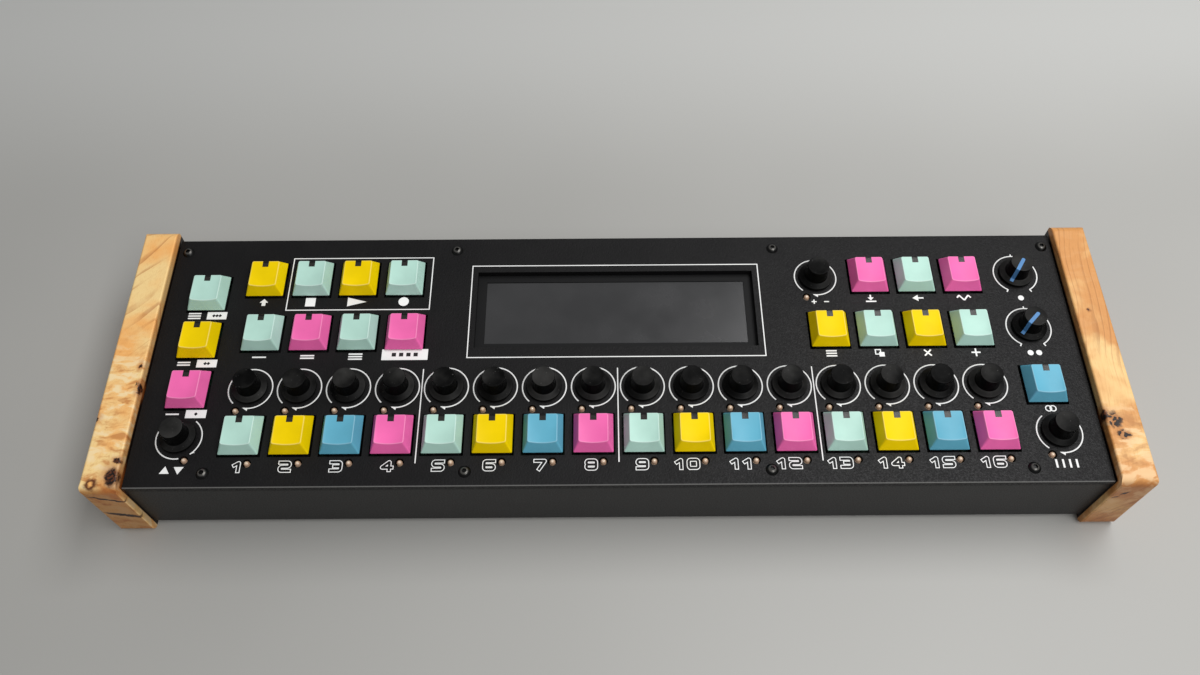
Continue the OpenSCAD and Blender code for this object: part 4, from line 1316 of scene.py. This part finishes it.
# %% Signs under the keys and by the knobs
# A sign's spot lies under its key or knob, and its shapes are measured from there
SIGN_DROP = 12.3
SIGN_AT = {key: place - Vector((0, SIGN_DROP)) for key, place in KEY_AT.items()}
KNOB_SIGN_FROM = {"value_knob": (1.0, -14.0), "left_knob": (0, -16.0), "right_knob": (0, -15.6),
                  "pot_knob_a": (0, -13.9), "pot_knob_b": (0, -13.9)}
SIGN_AT.update({name: KNOB_AT[name] + Vector(away) for name, away in KNOB_SIGN_FROM.items()})
WAVE = [(-3.3 + 1.1*k, 1.4*math.sin(k*math.pi/2)) for k in range(7)]
SIGNS = {
    "stop_key": [("box", (-2.4, -2.4), (2.4, 2.4))],
    "play_key": [("triangle", (4.6, 0), (-4.6, 0), 2.5)],
    "record_key": [("disc", (0, 0), 2.5)],
    "shift_key": [("triangle", (0, 2.0), (0, -0.1), 2.1), ("box", (-0.9, -1.9), (0.9, -0.1))],
    "mode_key_1": [("bars", (0, 0), 1, 6.5)],
    "mode_key_2": [("bars", (0, 0), 2, 6.5)],
    "mode_key_3": [("bars", (0, 0), 3, 6.5)],
    "store_key_1": [("bar", (0, 0.3), (0, 2.0)), ("triangle", (0, -1.2), (0, 0.5), 1.5),
                    ("bars", (0, -1.75), 1, 5.0)],
    "store_key_2": [("triangle", (-2.4, 0), (0.4, 0), 1.8), ("bar", (0.3, 0), (3.0, 0))],
    "store_key_3": [("bar", a, b) for a, b in zip(WAVE, WAVE[1:])],
    "edit_key_1": [("bars", (0, 0), 3, 5.0)],
    "edit_key_2": [("frame", (-1.9, -0.6), (0.5, 1.8), 0.55), ("box", (-0.3, -1.9), (2.2, 0.5))],
    "edit_key_3": [("bar", (-1.6, 1.6), (1.6, -1.6)), ("bar", (-1.6, -1.6), (1.6, 1.6))],
    "edit_key_4": [("bar", (-2.1, 0), (2.1, 0)), ("bar", (0, -2.1), (0, 2.1))],
    "link_key": [("ring", (x, 0.4), 1.35, 0.5) for x in (-0.2, 1.8)],
    "value_knob": [("bar", (-4.2, 0), (-1.8, 0), 0.6), ("bar", (-3.0, -1.2), (-3.0, 1.2), 0.6),
                   ("bar", (1.8, 0), (4.2, 0), 0.6)],
    "left_knob": [("triangle", (-3, 2.0), (-3, -1.6), 2.2), ("triangle", (3, -2.0), (3, 1.6), 2.2)],
    "right_knob": [("bar", (x, -2.0), (x, 2.0), 0.9) for x in (-4.5, -1.5, 1.5, 4.5)],
    "pot_knob_a": [("disc", (0, 0), 1.4)],
    "pot_knob_b": [("disc", (x, 0), 1.4) for x in (-2, 2)],
}
white = Ink()
for name, shapes in SIGNS.items():
    for kind, *sizes in shapes:
        getattr(white, kind)(SIGN_AT[name], *sizes)
print("signs:", len(SIGNS))

# %% Ticks of the pots
TICK_FROM = 10.3
TICK_ENDS = {-120: 11.9, -60: 11.9, 90: 11.6}
for name in POINTER_ANGLES:
    for angle, end in TICK_ENDS.items():
        white.bar(KNOB_AT[name], heading(angle)*TICK_FROM, heading(angle)*end, ARC_LINE)
print("ticks:", len(POINTER_ANGLES)*len(TICK_ENDS))

# %% White plates with dark signs
# Three lie under the left keys, each beside its bars, and one lies under the last mode key
SIDE_DROP = 11.8
PLATE_LOW, PLATE_HIGH = Vector((0.8, -2.0)), Vector((10.2, 2.1))
SIDE_BARS, SIDE_BARS_WIDE = (-5.2, 0), 6.0
DOT_STEP, DOT_RADIUS = 1.5, 0.9
MODE_SHIFT = Vector((0.6, 0.9))
MODE_HALF = Vector((10.8, 2.9))
MODE_MARKS = (-5.1, -1.7, 1.7, 5.1)
DARK_SINK, DARK_RISE = 0.01, 0.02
dark = Ink(INK_HIGH - DARK_SINK, INK_HIGH + DARK_RISE)
for n in range(3):
    spot = KEY_AT[f"side_key_{n + 1}"] - Vector((0, SIDE_DROP))
    white.box(spot, PLATE_LOW, PLATE_HIGH)
    white.bars(spot, SIDE_BARS, n + 1, SIDE_BARS_WIDE)
    for k in range(n + 1):
        dark.disc(spot + (PLATE_LOW + PLATE_HIGH)/2, (DOT_STEP*(k - n/2), 0), DOT_RADIUS, sides=4)
mode_spot = SIGN_AT["mode_key_4"] + MODE_SHIFT
white.box(mode_spot, -MODE_HALF, MODE_HALF)
for x in MODE_MARKS:
    dark.box(mode_spot, (x - 1, -1), (x + 1, 1))
white.keep("printed_signs", PRINT_INK)
dark.keep("printed_dark_signs", PRINT_DARK)

# %% [markdown]
# ## Floor, light and camera
# A plain pale floor fills the view, painted paler behind the object as a pool of light. A long soft lamp
# hangs overhead on the right, and the sky gives an even fill. The camera stands where the photograph was
# taken.

# %% Floor
FLOOR_HALF = 4.0
# Where the floor is painted paler behind the object, as a pool of light, in millimetres
BACK_LIGHT_FROM, BACK_LIGHT_FULL = 110.0, 270.0


def pale_floor():
    floor = Finish("pale_floor")
    cloud = floor.uneven(0.004, 0.0, 1.0, detail=2.0)
    near = floor.mixed(cloud, linear(169, 168, 164), linear(174, 173, 169))
    # Behind the object the floor is painted paler, a painted pool of light
    back = floor.ranged(floor.axis(floor.place, "Y"), BACK_LIGHT_FROM, BACK_LIGHT_FULL)
    return floor.done(floor.mixed(back, near, linear(194, 194, 191)), 0.5)


floor_mesh = bpy.data.meshes.new("floor")
corners = [(x*FLOOR_HALF, y*FLOOR_HALF, 0) for x, y in ((-1, -1), (1, -1), (1, 1), (-1, 1))]
floor_mesh.from_pydata(corners, [], [(0, 1, 2, 3)])
floor_mesh.materials.append(pale_floor())
floor = bpy.data.objects.new("floor", floor_mesh)
scene.collection.objects.link(floor)
floor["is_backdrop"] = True
print("floor:", 2*FLOOR_HALF, "m wide")

# %% Lamp and sky
# The lamp hangs level and shines straight down
LONG_LAMP_PLACE = (0.55, -0.15, 1.25)
LONG_LAMP_WIDE, LONG_LAMP_DEEP = 0.6, 1.8
LONG_LAMP_POWER = 20.0
SKY_COLOUR = (0.98, 0.99, 1.0, 1.0)
SKY_STRENGTH = 0.30

lamp = bpy.data.lights.new("long_lamp", "AREA")
lamp.shape = "RECTANGLE"
lamp.size = LONG_LAMP_WIDE
lamp.size_y = LONG_LAMP_DEEP
lamp.energy = LONG_LAMP_POWER
holder = bpy.data.objects.new("long_lamp", lamp)
holder.location = LONG_LAMP_PLACE
scene.collection.objects.link(holder)

sky = bpy.data.worlds.new("plain_sky")
sky.use_nodes = True
background = sky.node_tree.nodes["Background"]
background.inputs["Color"].default_value = SKY_COLOUR
background.inputs["Strength"].default_value = SKY_STRENGTH
scene.world = sky
print("lamp power:", LONG_LAMP_POWER, "sky strength:", SKY_STRENGTH)

# %% Camera
CAMERA_PLACE = Vector((-7.51, -239.85, 464.25))
CAMERA_TURN = (30.6276, 0.2164, -0.3405)
CAMERA_LENS = 30.946

camera = bpy.data.cameras.new("camera")
camera.lens = CAMERA_LENS
camera.sensor_width = 36.0
camera.clip_start = 0.01
viewpoint = bpy.data.objects.new("camera", camera)
viewpoint.location = CAMERA_PLACE*MM
viewpoint.rotation_euler = Euler([math.radians(angle) for angle in CAMERA_TURN])
scene.collection.objects.link(viewpoint)
scene.camera = viewpoint
scene.view_settings.view_transform = "Standard"
print("lens:", CAMERA_LENS, "mm, camera height:", CAMERA_PLACE.z, "mm")

# %% [markdown]
# ## Closing
# The boxes of the solids and of the dressed object are gathered, and the dressed one is printed.

# %% Gather the sizes and finish
dressed_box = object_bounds()
sizes = {"solid": [list(corner) for corner in solid_box], "dressed": [list(corner) for corner in dressed_box]}
print("dressed box:", sizes["dressed"])
